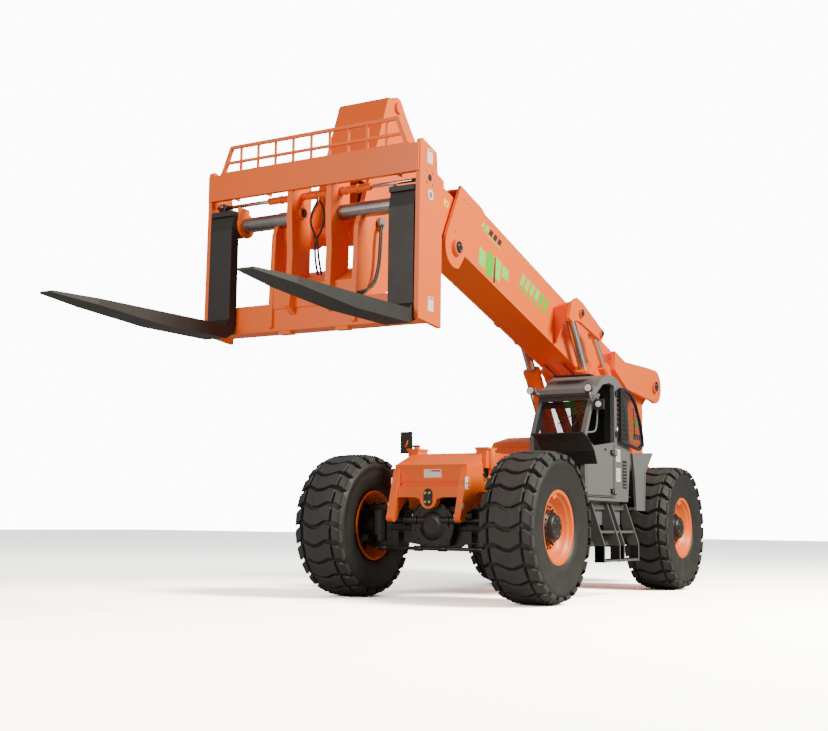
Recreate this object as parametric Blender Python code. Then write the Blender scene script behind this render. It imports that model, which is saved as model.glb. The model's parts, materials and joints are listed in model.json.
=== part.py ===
"""Heavy telehandler: four-wheel-steer chassis, offset cab, telescopic boom and a wide fork carriage.

Metres. +X is the machine's left, -Y is forward and +Z is up, with the ground at Z = 0. Every shape is drawn in
machine coordinates, whose Y = 0 is the front axle, and the root empty moves the whole machine so that the
origin is under the middle of its length.
"""

from math import cos, pi, radians, sin, sqrt

import bmesh
import bpy
from mathutils import Matrix, Vector

# ---------------------------------------------------------------- driving sizes
WHEELBASE = 4.015
TRACK = 2.304
TYRE_RADIUS = 0.81
TYRE_WIDTH = 0.60
BEAD_RADIUS = 0.385
RIM_FLANGE_RADIUS = 0.400
RIM_WALL = 0.030
WHEEL_DISC_OFFSET = 0.045
KINGPIN_OFFSET = 0.352
HUB_RADIUS = 0.185
AXLE_RADIUS = 0.125
YOKE_GAP_HALF = 0.172
STEER_CYLINDER_Y = -0.205
DIFF_RADIUS = 0.265
AXLE_SEAT_Z = 1.190

FRAME_HALF = 0.45
FRAME_TOP = 1.64
FRAME_BELLY = 0.78
SPINE_HALF = 0.235
NOSE_FRONT_Y = -0.28
NOSE_TOP_Z = 1.475

BOOM_ANGLE = radians(16.02)
PIVOT_Y = 5.624
PIVOT_Z = 2.896
BOOM_HALF = 0.24
BOOM_DEPTH = 0.710
BOOM_TOP_OVER_PIVOT = 0.068
BOOM_WALL = 0.025
BOOM_HEAD_S = 5.96
INNER_HALF = 0.19
INNER_DROP = 0.143
INNER_RISE = 0.040
LOBE_S = 5.870
LOBE_RADIUS = 0.235

EAR_OUT = 0.54
EAR_PLATE = 0.040
LIFT_X = 0.375
LIFT_BASE = (4.400, 1.070)
LIFT_PIN = (2.653, 3.557)
LIFT_BARREL_RADIUS = 0.115
LIFT_ROD_RADIUS = 0.062
LIFT_EYE_HALF = 0.066
COMP_X = 0.425
COMP_BASE = (4.750, 1.850)
COMP_PIN = (3.336, 3.381)
COMP_BARREL_RADIUS = 0.072
COMP_ROD_RADIUS = 0.038
COMP_EYE_HALF = 0.042

TOWER_IN = 0.270
TOWER_OUT = 0.330
LOBE_PLATE_IN = 0.400
LOBE_PLATE_OUT = 0.460

TILT_PIVOT = (-2.180, 3.680)
HEAD_PIN = (-1.548, 5.082)
HEAD_HALF = 0.30
HEAD_PLATE = 0.055
TILT_LUG = (-1.730, 3.180)
TILT_BARREL_RADIUS = 0.095
TILT_ROD_RADIUS = 0.050

CARRIAGE_HALF = 1.232
CARRIAGE_FRONT_Y = -2.683
TOP_BEAM_Z = (4.012, 4.274)
BOTTOM_BEAM_Z = (2.665, 2.935)
BEAM_THICK = 0.055
END_PLATE = 0.045
SHAFT_Y = -2.480
SHAFT_Z = 3.775
SHAFT_RADIUS = 0.075
SHAFT_INNER_X = 0.210
POSITIONER_Y = SHAFT_Y - 0.010
POSITIONER_Z = 3.985
POSITIONER_HALF = 0.60
FORK_WIDTH = 0.268
FORK_SHANK = 0.110
FORK_BACK = 0.112
NOSE_SWEEP = 0.28
NOSE_LOW_SWEEP = 0.90
EAR_LOW = -0.40
FORK_X = 1.045
FORK_TIP_Y = -4.900
FORK_BOTTOM_Z = 2.610

CAB_IN = 0.560
CAB_OUT = 1.250
CAB_WALL = 0.050
CAB_FLOOR_Z = 1.120
DOOR_HINGE = (1.262, 2.020)

GAP = 0.0003
RUNNING = 0.006

SIDES = (("left", 1), ("right", -1))

# ---------------------------------------------------------------- scene, materials and mesh helpers
for leftover in list(bpy.data.objects):
    bpy.data.objects.remove(leftover, do_unlink=True)


def paint(name, colour, roughness, metallic=0.0):
    """Make one Principled material."""
    material = bpy.data.materials.new(name)
    material.use_nodes = True
    shader = material.node_tree.nodes["Principled BSDF"]
    shader.inputs["Base Color"].default_value = (*colour, 1.0)
    shader.inputs["Roughness"].default_value = roughness
    shader.inputs["Metallic"].default_value = metallic
    return material


ORANGE = paint("orange_paint", (0.86, 0.20, 0.05), 0.40)
GREY = paint("grey_paint", (0.22, 0.22, 0.23), 0.45)
BLACK = paint("black_paint", (0.03, 0.03, 0.03), 0.50)
TYRE = paint("tyre_rubber", (0.04, 0.04, 0.04), 0.85)
STEEL = paint("rod_chrome", (0.70, 0.70, 0.72), 0.20, 1.0)
FORGED = paint("forged_steel", (0.05, 0.05, 0.055), 0.55, 0.6)
GLASS = paint("tinted_glass", (0.10, 0.11, 0.12), 0.08)
TRIM = paint("cab_trim", (0.05, 0.05, 0.05), 0.70)


def mesh_from(bm):
    """Turn a bmesh into a mesh whose faces point outwards."""
    bmesh.ops.recalc_face_normals(bm, faces=bm.faces)
    mesh = bpy.data.meshes.new("piece")
    bm.to_mesh(mesh)
    bm.free()
    return mesh


def prism(outline, low, high, axis="x"):
    """Extrude a closed outline from low to high along an axis; the outline holds the other two coordinates."""
    places = {
        "x": lambda a, b, depth: (depth, a, b),
        "y": lambda a, b, depth: (a, depth, b),
        "z": lambda a, b, depth: (a, b, depth),
    }[axis]
    bm = bmesh.new()
    ends = [[bm.verts.new(places(a, b, depth)) for a, b in outline] for depth in (low, high)]
    count = len(outline)
    bm.faces.new(ends[0])
    bm.faces.new(list(reversed(ends[1])))
    for i in range(count):
        j = (i + 1) % count
        bm.faces.new((ends[0][i], ends[1][i], ends[1][j], ends[0][j]))
    return mesh_from(bm)


def block(x, y, z):
    """Make a box from three (low, high) pairs."""
    return prism([(y[0], z[0]), (y[1], z[0]), (y[1], z[1]), (y[0], z[1])], *x)


def round_bar(start, end, radius, sides=20, end_radius=None):
    """Make a cylinder, or a cone with end_radius, between two points."""
    start, end = Vector(start), Vector(end)
    bm = bmesh.new()
    turn = Vector((0, 0, 1)).rotation_difference(end - start).to_matrix().to_4x4()
    bmesh.ops.create_cone(
        bm, cap_ends=True, segments=sides, radius1=radius,
        radius2=radius if end_radius is None else end_radius, depth=(end - start).length,
        matrix=Matrix.Translation((start + end) / 2) @ turn,
    )
    return mesh_from(bm)


def turned(profile, centre, sides=40):
    """Turn a closed profile of (x, radius) points about the X direction through centre (y, z)."""
    bm = bmesh.new()
    rings = []
    for k in range(sides):
        angle = 2 * pi * k / sides
        rings.append([
            bm.verts.new((x, centre[0] + r * sin(angle), centre[1] + r * cos(angle))) for x, r in profile
        ])
    count = len(profile)
    for k in range(sides):
        here, there = rings[k], rings[(k + 1) % sides]
        for i in range(count):
            j = (i + 1) % count
            bm.faces.new((here[i], there[i], there[j], here[j]))
    bmesh.ops.remove_doubles(bm, verts=bm.verts, dist=1e-6)
    return mesh_from(bm)


def bore_for(radius, sides):
    """Radius of a faceted bore in which a faceted pin of this radius turns without touching."""
    return radius / cos(pi / sides) + GAP


def arc(centre, radius, start, stop, steps):
    """Points on a circle, angles in degrees from the first axis towards the second."""
    turns = [radians(start + (stop - start) * i / steps) for i in range(steps + 1)]
    return [(centre[0] + radius * cos(t), centre[1] + radius * sin(t)) for t in turns]


def joined(first, others, operation):
    """Boolean a list of meshes into the first one, and return the evaluated mesh."""
    base = bpy.data.objects.new("base", first)
    bpy.context.scene.collection.objects.link(base)
    helpers = []
    for other in others:
        helper = bpy.data.objects.new("operand", other)
        bpy.context.scene.collection.objects.link(helper)
        helpers.append(helper)
        modifier = base.modifiers.new(operation.lower(), "BOOLEAN")
        modifier.operation = operation
        modifier.solver = "EXACT"
        modifier.object = helper
    bpy.context.view_layer.update()
    graph = bpy.context.evaluated_depsgraph_get()
    result = bpy.data.meshes.new_from_object(base.evaluated_get(graph))
    for used in [base, *helpers]:
        bpy.data.objects.remove(used, do_unlink=True)
    return result


def weld(first, *others, cut=()):
    """Union meshes into one body, then cut the meshes in cut out of it."""
    result = joined(first, others, "UNION") if others else first
    return joined(result, cut, "DIFFERENCE") if cut else result


ROOT = bpy.data.objects.new("telehandler", None)
bpy.context.scene.collection.objects.link(ROOT)


def place(name, mesh, material, origin=(0, 0, 0), smooth=0.6):
    """Add a named piece whose origin lies at a point given in machine coordinates."""
    mesh.transform(Matrix.Translation(-Vector(origin)))
    mesh.name = name
    mesh.materials.clear()
    mesh.materials.append(material)
    mesh.shade_smooth()
    mesh.set_sharp_from_angle(angle=smooth)
    piece = bpy.data.objects.new(name, mesh)
    bpy.context.scene.collection.objects.link(piece)
    piece.parent = ROOT
    piece.location = origin
    return piece


def on_boom(along, up):
    """Machine (y, z) of a point given along the boom from its pivot, and square to it."""
    return (
        PIVOT_Y - along * cos(BOOM_ANGLE) + up * sin(BOOM_ANGLE),
        PIVOT_Z + along * sin(BOOM_ANGLE) + up * cos(BOOM_ANGLE),
    )


def boom_prism(outline, low, high):
    """Extrude a boom-frame outline (along, up) across the machine."""
    return prism([on_boom(a, u) for a, u in outline], low, high)


# ---------------------------------------------------------------- wheels, knuckles and axles
def tyre_mesh(centre_x, centre_y):
    """One tyre: tread with rounded shoulders, bulged walls and two beads."""
    half = TYRE_WIDTH / 2
    seat = BEAD_RADIUS + GAP
    profile = [
        (-half * 0.80, seat), (-half * 0.84, seat + 0.035), (-half, 0.575), (-half * 0.985, 0.690),
        (-half * 0.90, 0.772), (-half * 0.55, TYRE_RADIUS - 0.004), (0, TYRE_RADIUS), (half * 0.55, TYRE_RADIUS - 0.004),
        (half * 0.90, 0.772), (half * 0.985, 0.690), (half, 0.575), (half * 0.84, seat + 0.035), (half * 0.80, seat),
    ]
    return turned([(centre_x + x, r) for x, r in profile], (centre_y, TYRE_RADIUS), 32)


def rim_mesh(centre_x, centre_y, side):
    """One rim: a drum with an outer and an inner flange, a dished disc and a planetary hub cover."""
    half = TYRE_WIDTH / 2
    inner = BEAD_RADIUS - RIM_WALL
    disc = WHEEL_DISC_OFFSET
    profile = [
        (-half * 0.90, BEAD_RADIUS), (-half * 0.90, inner), (disc - 0.02, inner - 0.01), (disc - 0.02, 0.0),
        (disc + 0.115, 0.0), (disc + 0.115, 0.120), (disc + 0.012, HUB_RADIUS - 0.010), (disc + 0.012, inner - 0.045),
        (disc + 0.060, inner - 0.008), (half * 0.98, inner + 0.010), (half * 0.98, RIM_FLANGE_RADIUS),
        (half * 0.84, RIM_FLANGE_RADIUS), (half * 0.825, BEAD_RADIUS),
    ]
    return turned([(centre_x + side * x, r) for x, r in profile], (centre_y, TYRE_RADIUS), 32)


def knuckle_mesh(kingpin_x, wheel_x, centre_y, side):
    """One steering knuckle: kingpin drum, top and bottom caps, wheel-end housing and steering arm."""
    z = TYRE_RADIUS
    end_x = wheel_x + side * (WHEEL_DISC_OFFSET - 0.0205)
    drum = round_bar((kingpin_x, centre_y, z - YOKE_GAP_HALF + GAP), (kingpin_x, centre_y, z + YOKE_GAP_HALF - GAP), 0.135, 22)
    profile = [
        (kingpin_x + side * 0.02, 0.0), (kingpin_x + side * 0.02, 0.150), (end_x - side * 0.10, 0.160),
        (end_x - side * 0.10, 0.215), (end_x, 0.215), (end_x, 0.0),
    ]
    housing = turned(profile, (centre_y, z), 24)
    arm = block(
        sorted((kingpin_x - side * 0.03, kingpin_x + side * 0.05)), (centre_y - 0.33, centre_y - 0.04),
        (z - 0.165, z - 0.105),
    )
    return weld(drum, housing, arm)


def axle_mesh(centre_y):
    """One axle: housing with yokes, differential, pivot block, steering cylinder and tie bar."""
    z = TYRE_RADIUS
    kingpin = TRACK / 2 - KINGPIN_OFFSET
    reach = kingpin - 0.20
    pieces = [round_bar((-reach, centre_y, z), (reach, centre_y, z), AXLE_RADIUS, 20)]
    banjo = [(-DIFF_RADIUS, -0.18), (0, -0.24), (DIFF_RADIUS, -0.18), (DIFF_RADIUS, 0.18), (0, 0.24), (-DIFF_RADIUS, 0.18)]
    pieces.append(round_bar((0, centre_y - 0.225, z), (0, centre_y + 0.24, z), DIFF_RADIUS, 24))
    pieces.append(prism([(a * 1.6, z + b) for a, b in banjo], centre_y - 0.11, centre_y + 0.11, "y"))
    for side in (1, -1):
        low, high = sorted((side * (reach - 0.10), side * (kingpin + 0.10)))
        for z_low, z_high in ((z + YOKE_GAP_HALF, z + 0.235), (z - 0.235, z - YOKE_GAP_HALF)):
            pieces.append(block((low, high), (centre_y - 0.11, centre_y + 0.11), (z_low, z_high)))
        low, high = sorted((side * (reach - 0.10), side * (kingpin - 0.145)))
        pieces.append(block((low, high), (centre_y - 0.11, centre_y + 0.11), (z - 0.235, z + 0.235)))
    pieces.append(block((-0.16, 0.16), (centre_y + 0.01, centre_y + 0.20), (z + 0.20, AXLE_SEAT_Z - GAP)))
    cylinder = centre_y + STEER_CYLINDER_Y
    pieces.append(round_bar((-0.34, cylinder, z + 0.06), (0.34, cylinder, z + 0.06), 0.045, 16))
    pieces.append(round_bar((-0.60, cylinder, z + 0.06), (0.60, cylinder, z + 0.06), 0.024, 12))
    pieces.append(block((-0.20, 0.20), (cylinder - 0.03, centre_y), (z - 0.02, z + 0.09)))
    return weld(*pieces)


for end, axle_y in (("front", 0.0), ("rear", WHEELBASE)):
    place(f"{end}_axle", axle_mesh(axle_y), BLACK)
    for hand, side in SIDES:
        wheel_x = side * TRACK / 2
        kingpin_x = side * (TRACK / 2 - KINGPIN_OFFSET)
        hub = (wheel_x, axle_y, TYRE_RADIUS)
        steer = (kingpin_x, axle_y, TYRE_RADIUS)
        place(f"{end}_{hand}_knuckle", knuckle_mesh(kingpin_x, wheel_x, axle_y, side), BLACK, steer)
        place(f"{end}_{hand}_tyre", tyre_mesh(wheel_x, axle_y), TYRE, hub, 0.5)
        place(f"{end}_{hand}_rim", rim_mesh(wheel_x, axle_y, side), ORANGE, hub)


# ---------------------------------------------------------------- chassis
def frame_mesh():
    """Welded main frame: nose box, wide middle, narrow spine over the rear axle and the cylinder cheeks."""
    middle = [
        (NOSE_FRONT_Y + 0.03, 1.13), (NOSE_FRONT_Y, NOSE_TOP_Z), (0.10, 1.618), (0.90, FRAME_TOP),
        (3.45, FRAME_TOP), (3.45, FRAME_BELLY), (0.95, FRAME_BELLY), (0.62, AXLE_SEAT_Z),
        (0.0, AXLE_SEAT_Z), (-0.12, 1.13),
    ]
    spine = [(3.40, 1.55), (4.66, 1.55), (4.66, AXLE_SEAT_Z), (3.40, AXLE_SEAT_Z)]
    tail = [(4.56, 1.64), (5.50, 1.64), (5.50, 0.95), (5.05, FRAME_BELLY), (4.56, 1.05)]
    pieces = [
        prism(middle, -FRAME_HALF, FRAME_HALF),
        prism(spine, -SPINE_HALF, SPINE_HALF),
        prism(tail, -FRAME_HALF, FRAME_HALF),
    ]
    corner = [
        (NOSE_FRONT_Y - 0.01, NOSE_TOP_Z - 0.04), (NOSE_FRONT_Y - 0.145, 0.95), *arc((-0.395, 0.905), 0.055, 190, 330, 5),
        (-0.27, 0.98), (-0.03, 1.17), (0.10, 1.25), (0.10, 1.50),
    ]
    tongue = [(-0.40, 1.24), (0.40, 1.24), (0.40, 1.12), (0.17, 1.12), *arc((0, 1.10), 0.105, 0, -180, 8), (-0.17, 1.12), (-0.40, 1.12)]
    pieces.append(prism(tongue, NOSE_FRONT_Y - 0.045, NOSE_FRONT_Y + 0.04, "y"))
    for side in (1, -1):
        pieces.append(prism(corner, *sorted((side * 0.385, side * 0.462))))
        low, high = sorted((side * 0.37, side * 0.50))
        pieces.append(block((low, high), (0.08, 0.30), (1.45, 1.66)))
        low, high = sorted((side * (EAR_OUT - EAR_PLATE), side * EAR_OUT))
        cheek = [(3.30, 1.08), (3.30, 1.45), (3.55, 1.45), (4.30, 1.26), (4.64, 1.24), (4.64, 0.98), (4.30, 0.96), (4.22, 1.08)]
        pieces.append(prism(cheek, low, high))
        low, high = sorted((side * 0.42, side * EAR_OUT))
        pieces.append(block((low, high), (3.30, 3.42), (1.08, 1.45)))
        pieces.append(block((low, high), (4.57, 4.64), (1.06, 1.22)))
        low, high = sorted((side * (SPINE_HALF - 0.02), side * (LIFT_X - LIFT_EYE_HALF - GAP)))
        pieces.append(round_bar((low, *LIFT_BASE), (high, *LIFT_BASE), 0.075, 16))
        low, high = sorted((side * (LIFT_X + LIFT_EYE_HALF + GAP), side * (EAR_OUT - 0.02)))
        pieces.append(round_bar((low, *LIFT_BASE), (high, *LIFT_BASE), 0.075, 16))
    pieces.append(block((-SPINE_HALF, SPINE_HALF), (4.28, 4.60), (0.96, 1.22)))
    pieces.append(round_bar((-0.43, 0.16, 1.62), (-0.43, 0.16, 1.70), 0.035, 12))
    return weld(*pieces)


def tower_mesh():
    """Boom tower: two plates from the tail to the boom pivot, a rear wall and the pivot pin."""
    plate = [
        (4.62, 1.50), (4.62, 2.30), (PIVOT_Y - 0.36, PIVOT_Z - 0.08),
        *arc((PIVOT_Y, PIVOT_Z), 0.21, 200, -20, 10), (5.47, 2.60), (5.47, 1.50),
    ]
    pieces = [block((-TOWER_OUT, TOWER_OUT), (5.41, 5.47), (1.642, 2.15))]
    for side in (1, -1):
        low, high = sorted((side * TOWER_IN, side * TOWER_OUT))
        pieces.append(prism([(y, max(z, 1.642)) for y, z in plate], low, high))
        low, high = sorted((side * (TOWER_OUT - 0.02), side * (COMP_X - COMP_EYE_HALF - GAP)))
        pieces.append(round_bar((low, *COMP_BASE), (high, *COMP_BASE), 0.060, 16))
    pieces.append(round_bar((-0.49, PIVOT_Y, PIVOT_Z), (0.49, PIVOT_Y, PIVOT_Z), 0.085, 32))
    pieces.append(block((-FRAME_HALF + 0.02, FRAME_HALF - 0.02), (4.64, 5.48), (1.6403, 1.70)))
    return weld(*pieces)


place("frame", frame_mesh(), ORANGE)
place("boom_tower", tower_mesh(), ORANGE)
hood_side = [(2.02, 1.6403), (2.00, 1.80), (2.06, 1.865), (2.50, 1.955), (2.92, 1.975), (2.98, 1.94), (2.98, 1.6403)]
place("center_hood", prism(hood_side, -0.42, 0.42), ORANGE)
weight = [(5.03, 0.80), (5.03, 1.45), (5.10, 1.52), (5.70, 1.52), (5.80, 1.42), (5.80, 0.95), (5.66, 0.80)]
weight_cut = block((-FRAME_HALF - GAP, FRAME_HALF + GAP), (4.9, 5.50 + GAP), (0.6, 1.7))
place("counterweight", weld(prism(weight, -0.80, 0.80), cut=[weight_cut]), ORANGE)

# ---------------------------------------------------------------- engine side
BAY_Y = (1.16, 2.92)
BAY_X = (-1.20, -0.4503)
BAY_Z = (0.72, 1.50)
COVER_HINGE = (-0.520, 1.530)


def engine_bay_mesh():
    """Open tray with low walls that carries the engine beside the frame."""
    tray = block(BAY_X, BAY_Y, (BAY_Z[0], 1.00))
    inside = block((BAY_X[0] + 0.04, BAY_X[1] - 0.04), (BAY_Y[0] + 0.04, BAY_Y[1] - 0.04), (BAY_Z[0] + 0.05, 1.10))
    rail = block((-0.56, BAY_X[1]), BAY_Y, (0.90, BAY_Z[1]))
    hinge_x, hinge_z = COVER_HINGE
    lugs = []
    for low, high in ((BAY_Y[0] + 0.02, BAY_Y[0] + 0.10 - GAP), (BAY_Y[1] - 0.10 + GAP, BAY_Y[1] - 0.02)):
        lugs.append(round_bar((hinge_x, low, hinge_z), (hinge_x, high, hinge_z), 0.024, 12))
        lugs.append(block((hinge_x - 0.024, hinge_x + 0.024), (low, high), (BAY_Z[1] - 0.03, hinge_z)))
    return weld(weld(tray, rail, cut=[inside]), *lugs)


def engine_cover_mesh():
    """Top-hinged cover: a shell over the tray, open below and towards the frame, with a chamfered outer edge."""
    wall = 0.03
    outer = [
        (BAY_X[0], 1.00 + RUNNING), (BAY_X[0], 1.40), (BAY_X[0] + 0.12, 1.555), (-0.575, 1.585), (-0.575, 1.00 + RUNNING),
    ]
    inner = [
        (BAY_X[0] + wall, 0.98), (BAY_X[0] + wall, 1.39), (BAY_X[0] + 0.135, 1.525), (-0.54, 1.553), (-0.54, 0.98),
    ]
    shell = prism(outer, BAY_Y[0], BAY_Y[1], "y")
    hollow = prism(inner, BAY_Y[0] + wall, BAY_Y[1] - wall, "y")
    hinge_x, hinge_z = COVER_HINGE
    low, high = BAY_Y[0] + 0.10, BAY_Y[1] - 0.10
    barrel = round_bar((hinge_x, low, hinge_z), (hinge_x, high, hinge_z), 0.022, 12)
    strap = block((-0.600, hinge_x), (low, high), (hinge_z - 0.008, 1.572))
    return weld(weld(shell, cut=[hollow]), barrel, strap)


place("engine_bay", engine_bay_mesh(), BLACK)
place("engine_cover", engine_cover_mesh(), ORANGE, (COVER_HINGE[0], (BAY_Y[0] + BAY_Y[1]) / 2, COVER_HINGE[1]))
place("engine_block", block((-1.05, -0.64), (1.35, 2.60), (0.7703, 1.36)), FORGED)

# ---------------------------------------------------------------- cab
CAB_SIDE = [
    (1.08, CAB_FLOOR_Z), (1.06, 1.84), (1.20, 2.12), (1.33, 2.32), (1.27, 2.345), (1.30, 2.42),
    *arc((1.90, 1.985), 0.645, 132, 48, 8), (2.43, 2.40), (2.50, 1.66), (2.42, CAB_FLOOR_Z),
]
SILL = [(1.09, 1.815), (1.14, 1.835), (1.34, 1.755), (1.97, 1.830)]
DOOR_TOP = [(1.97, 2.50), (1.84, 2.52), (1.62, 2.48), (1.44, 2.36), (1.30, 2.14), (1.17, 1.90)]


def cab_mesh():
    """Cab shell: hollow, with the windscreen, doorway, grille bay, right and rear window openings."""
    shell = prism(CAB_SIDE, CAB_IN, CAB_OUT)
    hollow = [
        (1.13, CAB_FLOOR_Z + CAB_WALL), (1.11, 1.83), (1.25, 2.10), (1.39, 2.32), (1.44, 2.42),
        *arc((1.90, 1.965), 0.600, 128, 52, 6), (2.37, 2.36), (2.44, 1.66), (2.37, CAB_FLOOR_Z + CAB_WALL),
    ]
    cuts = [prism(hollow, CAB_IN + CAB_WALL, CAB_OUT - CAB_WALL)]
    screen = [(0.90, 1.32), (0.90, 1.84), (1.13, 2.28), (1.42, 2.28), (1.28, 1.84), (1.28, 1.32)]
    cuts.append(prism(screen, CAB_IN + 0.055, CAB_OUT - 0.055))
    doorway = [(1.125, CAB_FLOOR_Z + 0.035), (1.125, 1.83), (1.25, 2.08), (1.42, 2.36), (1.62, 2.49), (1.84, 2.53), (1.98, 2.51), (1.98, CAB_FLOOR_Z + 0.035)]
    cuts.append(prism(doorway, CAB_OUT - 0.12, CAB_OUT + 0.05))
    quarter = [(2.075, 1.86), (2.075, 2.47), (2.28, 2.40), (2.37, 2.20), (2.42, 1.88)]
    cuts.append(prism(quarter, CAB_OUT - 0.12, CAB_OUT + 0.05))
    right = [(1.20, 1.72), (1.22, 1.90), (1.45, 2.33), (1.85, 2.50), (2.22, 2.42), (2.38, 1.72)]
    cuts.append(prism(right, CAB_IN - 0.05, CAB_IN + 0.12))
    cuts.append(block((CAB_IN + 0.10, CAB_OUT - 0.10), (2.30, 2.60), (1.74, 2.30)))
    lamps = []
    for x in (CAB_IN - 0.030, CAB_OUT + 0.010):
        lamps.append(round_bar((x, 1.15, 2.405), (x, 1.22, 2.405), 0.045, 16))
        inward = x + 0.06 if x < CAB_OUT - 0.1 else x - 0.06
        lamps.append(block(sorted((x - 0.010, inward)), (1.19, 1.36), (2.36, 2.385)))
    slats = []
    for k in range(9):
        z = 1.90 + 0.058 * k
        slats.append(block((CAB_OUT - 0.035, CAB_OUT - 0.015), (2.06, 2.44 - 0.012 * k), (z, z + 0.022)))
    spine = block((CAB_OUT - 0.034, CAB_OUT - 0.016), (2.19, 2.21), (1.84, 2.46))
    opened = weld(shell, cut=cuts)
    return weld(opened, *lamps, spine, *slats)


def pane(outline, low, high):
    """A flat pane that fits an opening in a side wall."""
    return prism(outline, low, high)


place("cab_shell", cab_mesh(), GREY)
screen_pane = [
    (1.079, 1.3205), (1.065, 1.838), (1.205, 2.117), (1.305, 2.2795), (1.317, 2.2795), (1.216, 2.114),
    (1.075, 1.836), (1.089, 1.3205),
]
place("cab_windscreen", prism(screen_pane, CAB_IN + 0.0555, CAB_OUT - 0.0555), GLASS)
right_pane = [(1.2005, 1.7205), (1.2205, 1.899), (1.4507, 2.3292), (1.85, 2.4993), (2.2195, 2.4192), (2.3795, 1.7205)]
place("cab_right_window", pane(right_pane, CAB_IN + 0.010, CAB_IN + 0.020), GLASS)
place(
    "cab_rear_window",
    prism([(2.4705, 1.7405), (2.424, 2.2993), (2.434, 2.2993), (2.4805, 1.7405)], CAB_IN + 0.1003, CAB_OUT - 0.1003),
    GLASS,
)

seat_base = block((0.68, 1.08), (1.72, 2.14), (1.52, 1.64))
seat_back = prism([(2.06, 1.58), (2.22, 2.18), (2.30, 2.16), (2.18, 1.56)], 0.70, 1.06)
seat_post = block((0.76, 1.00), (1.80, 2.06), (CAB_FLOOR_Z + CAB_WALL + GAP, 1.54))
place("cab_seat", weld(seat_base, seat_back, seat_post), TRIM)
column = prism([(1.24, CAB_FLOOR_Z + CAB_WALL + GAP), (1.24, 1.60), (1.34, 1.72), (1.40, 1.68), (1.38, CAB_FLOOR_Z + CAB_WALL + GAP)], 0.80, 1.00)
shaft = round_bar((0.90, 1.36, 1.66), (0.90, 1.455, 1.80), 0.028, 12)
wheel_bm = round_bar((0.90, 1.445, 1.785), (0.90, 1.462, 1.812), 0.175, 24)
place("cab_console", weld(column, shaft, wheel_bm), TRIM)

hinge_x, hinge_y = DOOR_HINGE
DOOR_SLAB = 0.034


def sill_z(distance, rise):
    """Height of the split between the two half doors at a distance from the hinge line."""
    reach = [0.0, 0.05, 0.68, 0.88, 0.93]
    height = [1.832, 1.830, 1.755, 1.835, 1.820]
    for i in range(4):
        if distance <= reach[i + 1]:
            share = (distance - reach[i]) / (reach[i + 1] - reach[i])
            return height[i] + share * (height[i + 1] - height[i]) + rise
    return height[4] + rise


lower_outline = [(hinge_y - 0.045, CAB_FLOOR_Z + 0.045), (hinge_y - 0.885, CAB_FLOOR_Z + 0.045), (hinge_y - 0.885, sill_z(0.88, -0.006)), (hinge_y - 0.68, sill_z(0.68, -0.006)), (hinge_y - 0.045, sill_z(0.05, -0.006))]
lower_slab = prism(lower_outline, CAB_OUT - DOOR_SLAB, CAB_OUT)
lower_parts = [lower_slab]
for z in (1.24, 1.70):
    lower_parts.append(round_bar((hinge_x, hinge_y, z - 0.035), (hinge_x, hinge_y, z + 0.035), 0.0117, 12))
    lower_parts.append(block((hinge_x - 0.009, hinge_x + 0.009), (hinge_y - 0.10, hinge_y), (z - 0.03, z + 0.03)))
    lower_parts.append(block((hinge_x - 0.022, hinge_x), (hinge_y - 0.095, hinge_y - 0.05), (z - 0.025, z + 0.025)))
lower_parts.append(block((CAB_OUT - 0.01, CAB_OUT + 0.030), (hinge_y - 0.84, hinge_y - 0.70), (1.690, 1.725)))
place("cab_door", weld(*lower_parts), GREY, (hinge_x, hinge_y, 1.47))

upper_r = [
    (0.045, sill_z(0.045, 0.006)), (0.68, sill_z(0.68, 0.006)), (0.84, sill_z(0.84, 0.012)), (0.815, 1.95),
    (0.74, 2.12), (0.58, 2.345), (0.39, 2.470), (0.18, 2.505), (0.045, 2.490),
]
upper_x = (2 * hinge_x - CAB_OUT, 2 * hinge_x - CAB_OUT + DOOR_SLAB)
middle_r = (0.40, 2.10)
upper_outer = [(hinge_y + r, z) for r, z in upper_r]


def inset(points, centre, share):
    """Shrink an outline towards a centre point."""
    return [(centre[0] + (a - centre[0]) * share, centre[1] + (b - centre[1]) * share) for a, b in points]


upper_hole = inset(upper_outer, (hinge_y + middle_r[0], middle_r[1]), 0.90)
upper_frame = weld(prism(upper_outer, *upper_x), cut=[prism(upper_hole, upper_x[0] - 0.05, upper_x[1] + 0.05)])
upper_hinges = []
for z in (1.93, 2.42):
    upper_hinges.append(round_bar((hinge_x, hinge_y, z - 0.030), (hinge_x, hinge_y, z + 0.030), 0.0117, 12))
    upper_hinges.append(block((hinge_x - 0.009, hinge_x + 0.009), (hinge_y, hinge_y + 0.072), (z - 0.025, z + 0.025)))
    upper_hinges.append(block((hinge_x, hinge_x + 0.022), (hinge_y + 0.05, hinge_y + 0.068), (z - 0.02, z + 0.02)))
place("cab_upper_door", weld(upper_frame, *upper_hinges), BLACK, (hinge_x, hinge_y, 2.12))
upper_pane = inset(upper_outer, (hinge_y + middle_r[0], middle_r[1]), 0.8990)
place("cab_upper_glass", prism(upper_pane, upper_x[0] + 0.012, upper_x[0] + 0.022), GLASS, (hinge_x, hinge_y, 2.12))

# ---------------------------------------------------------------- cab base, steps, mudguard and rear fender
base_side = [(1.16, 0.84), (1.16, CAB_FLOOR_Z - GAP), (2.42, CAB_FLOOR_Z - GAP), (2.42, 0.84)]
place("cab_base", prism(base_side, FRAME_HALF + GAP, 1.14), GREY)


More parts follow.
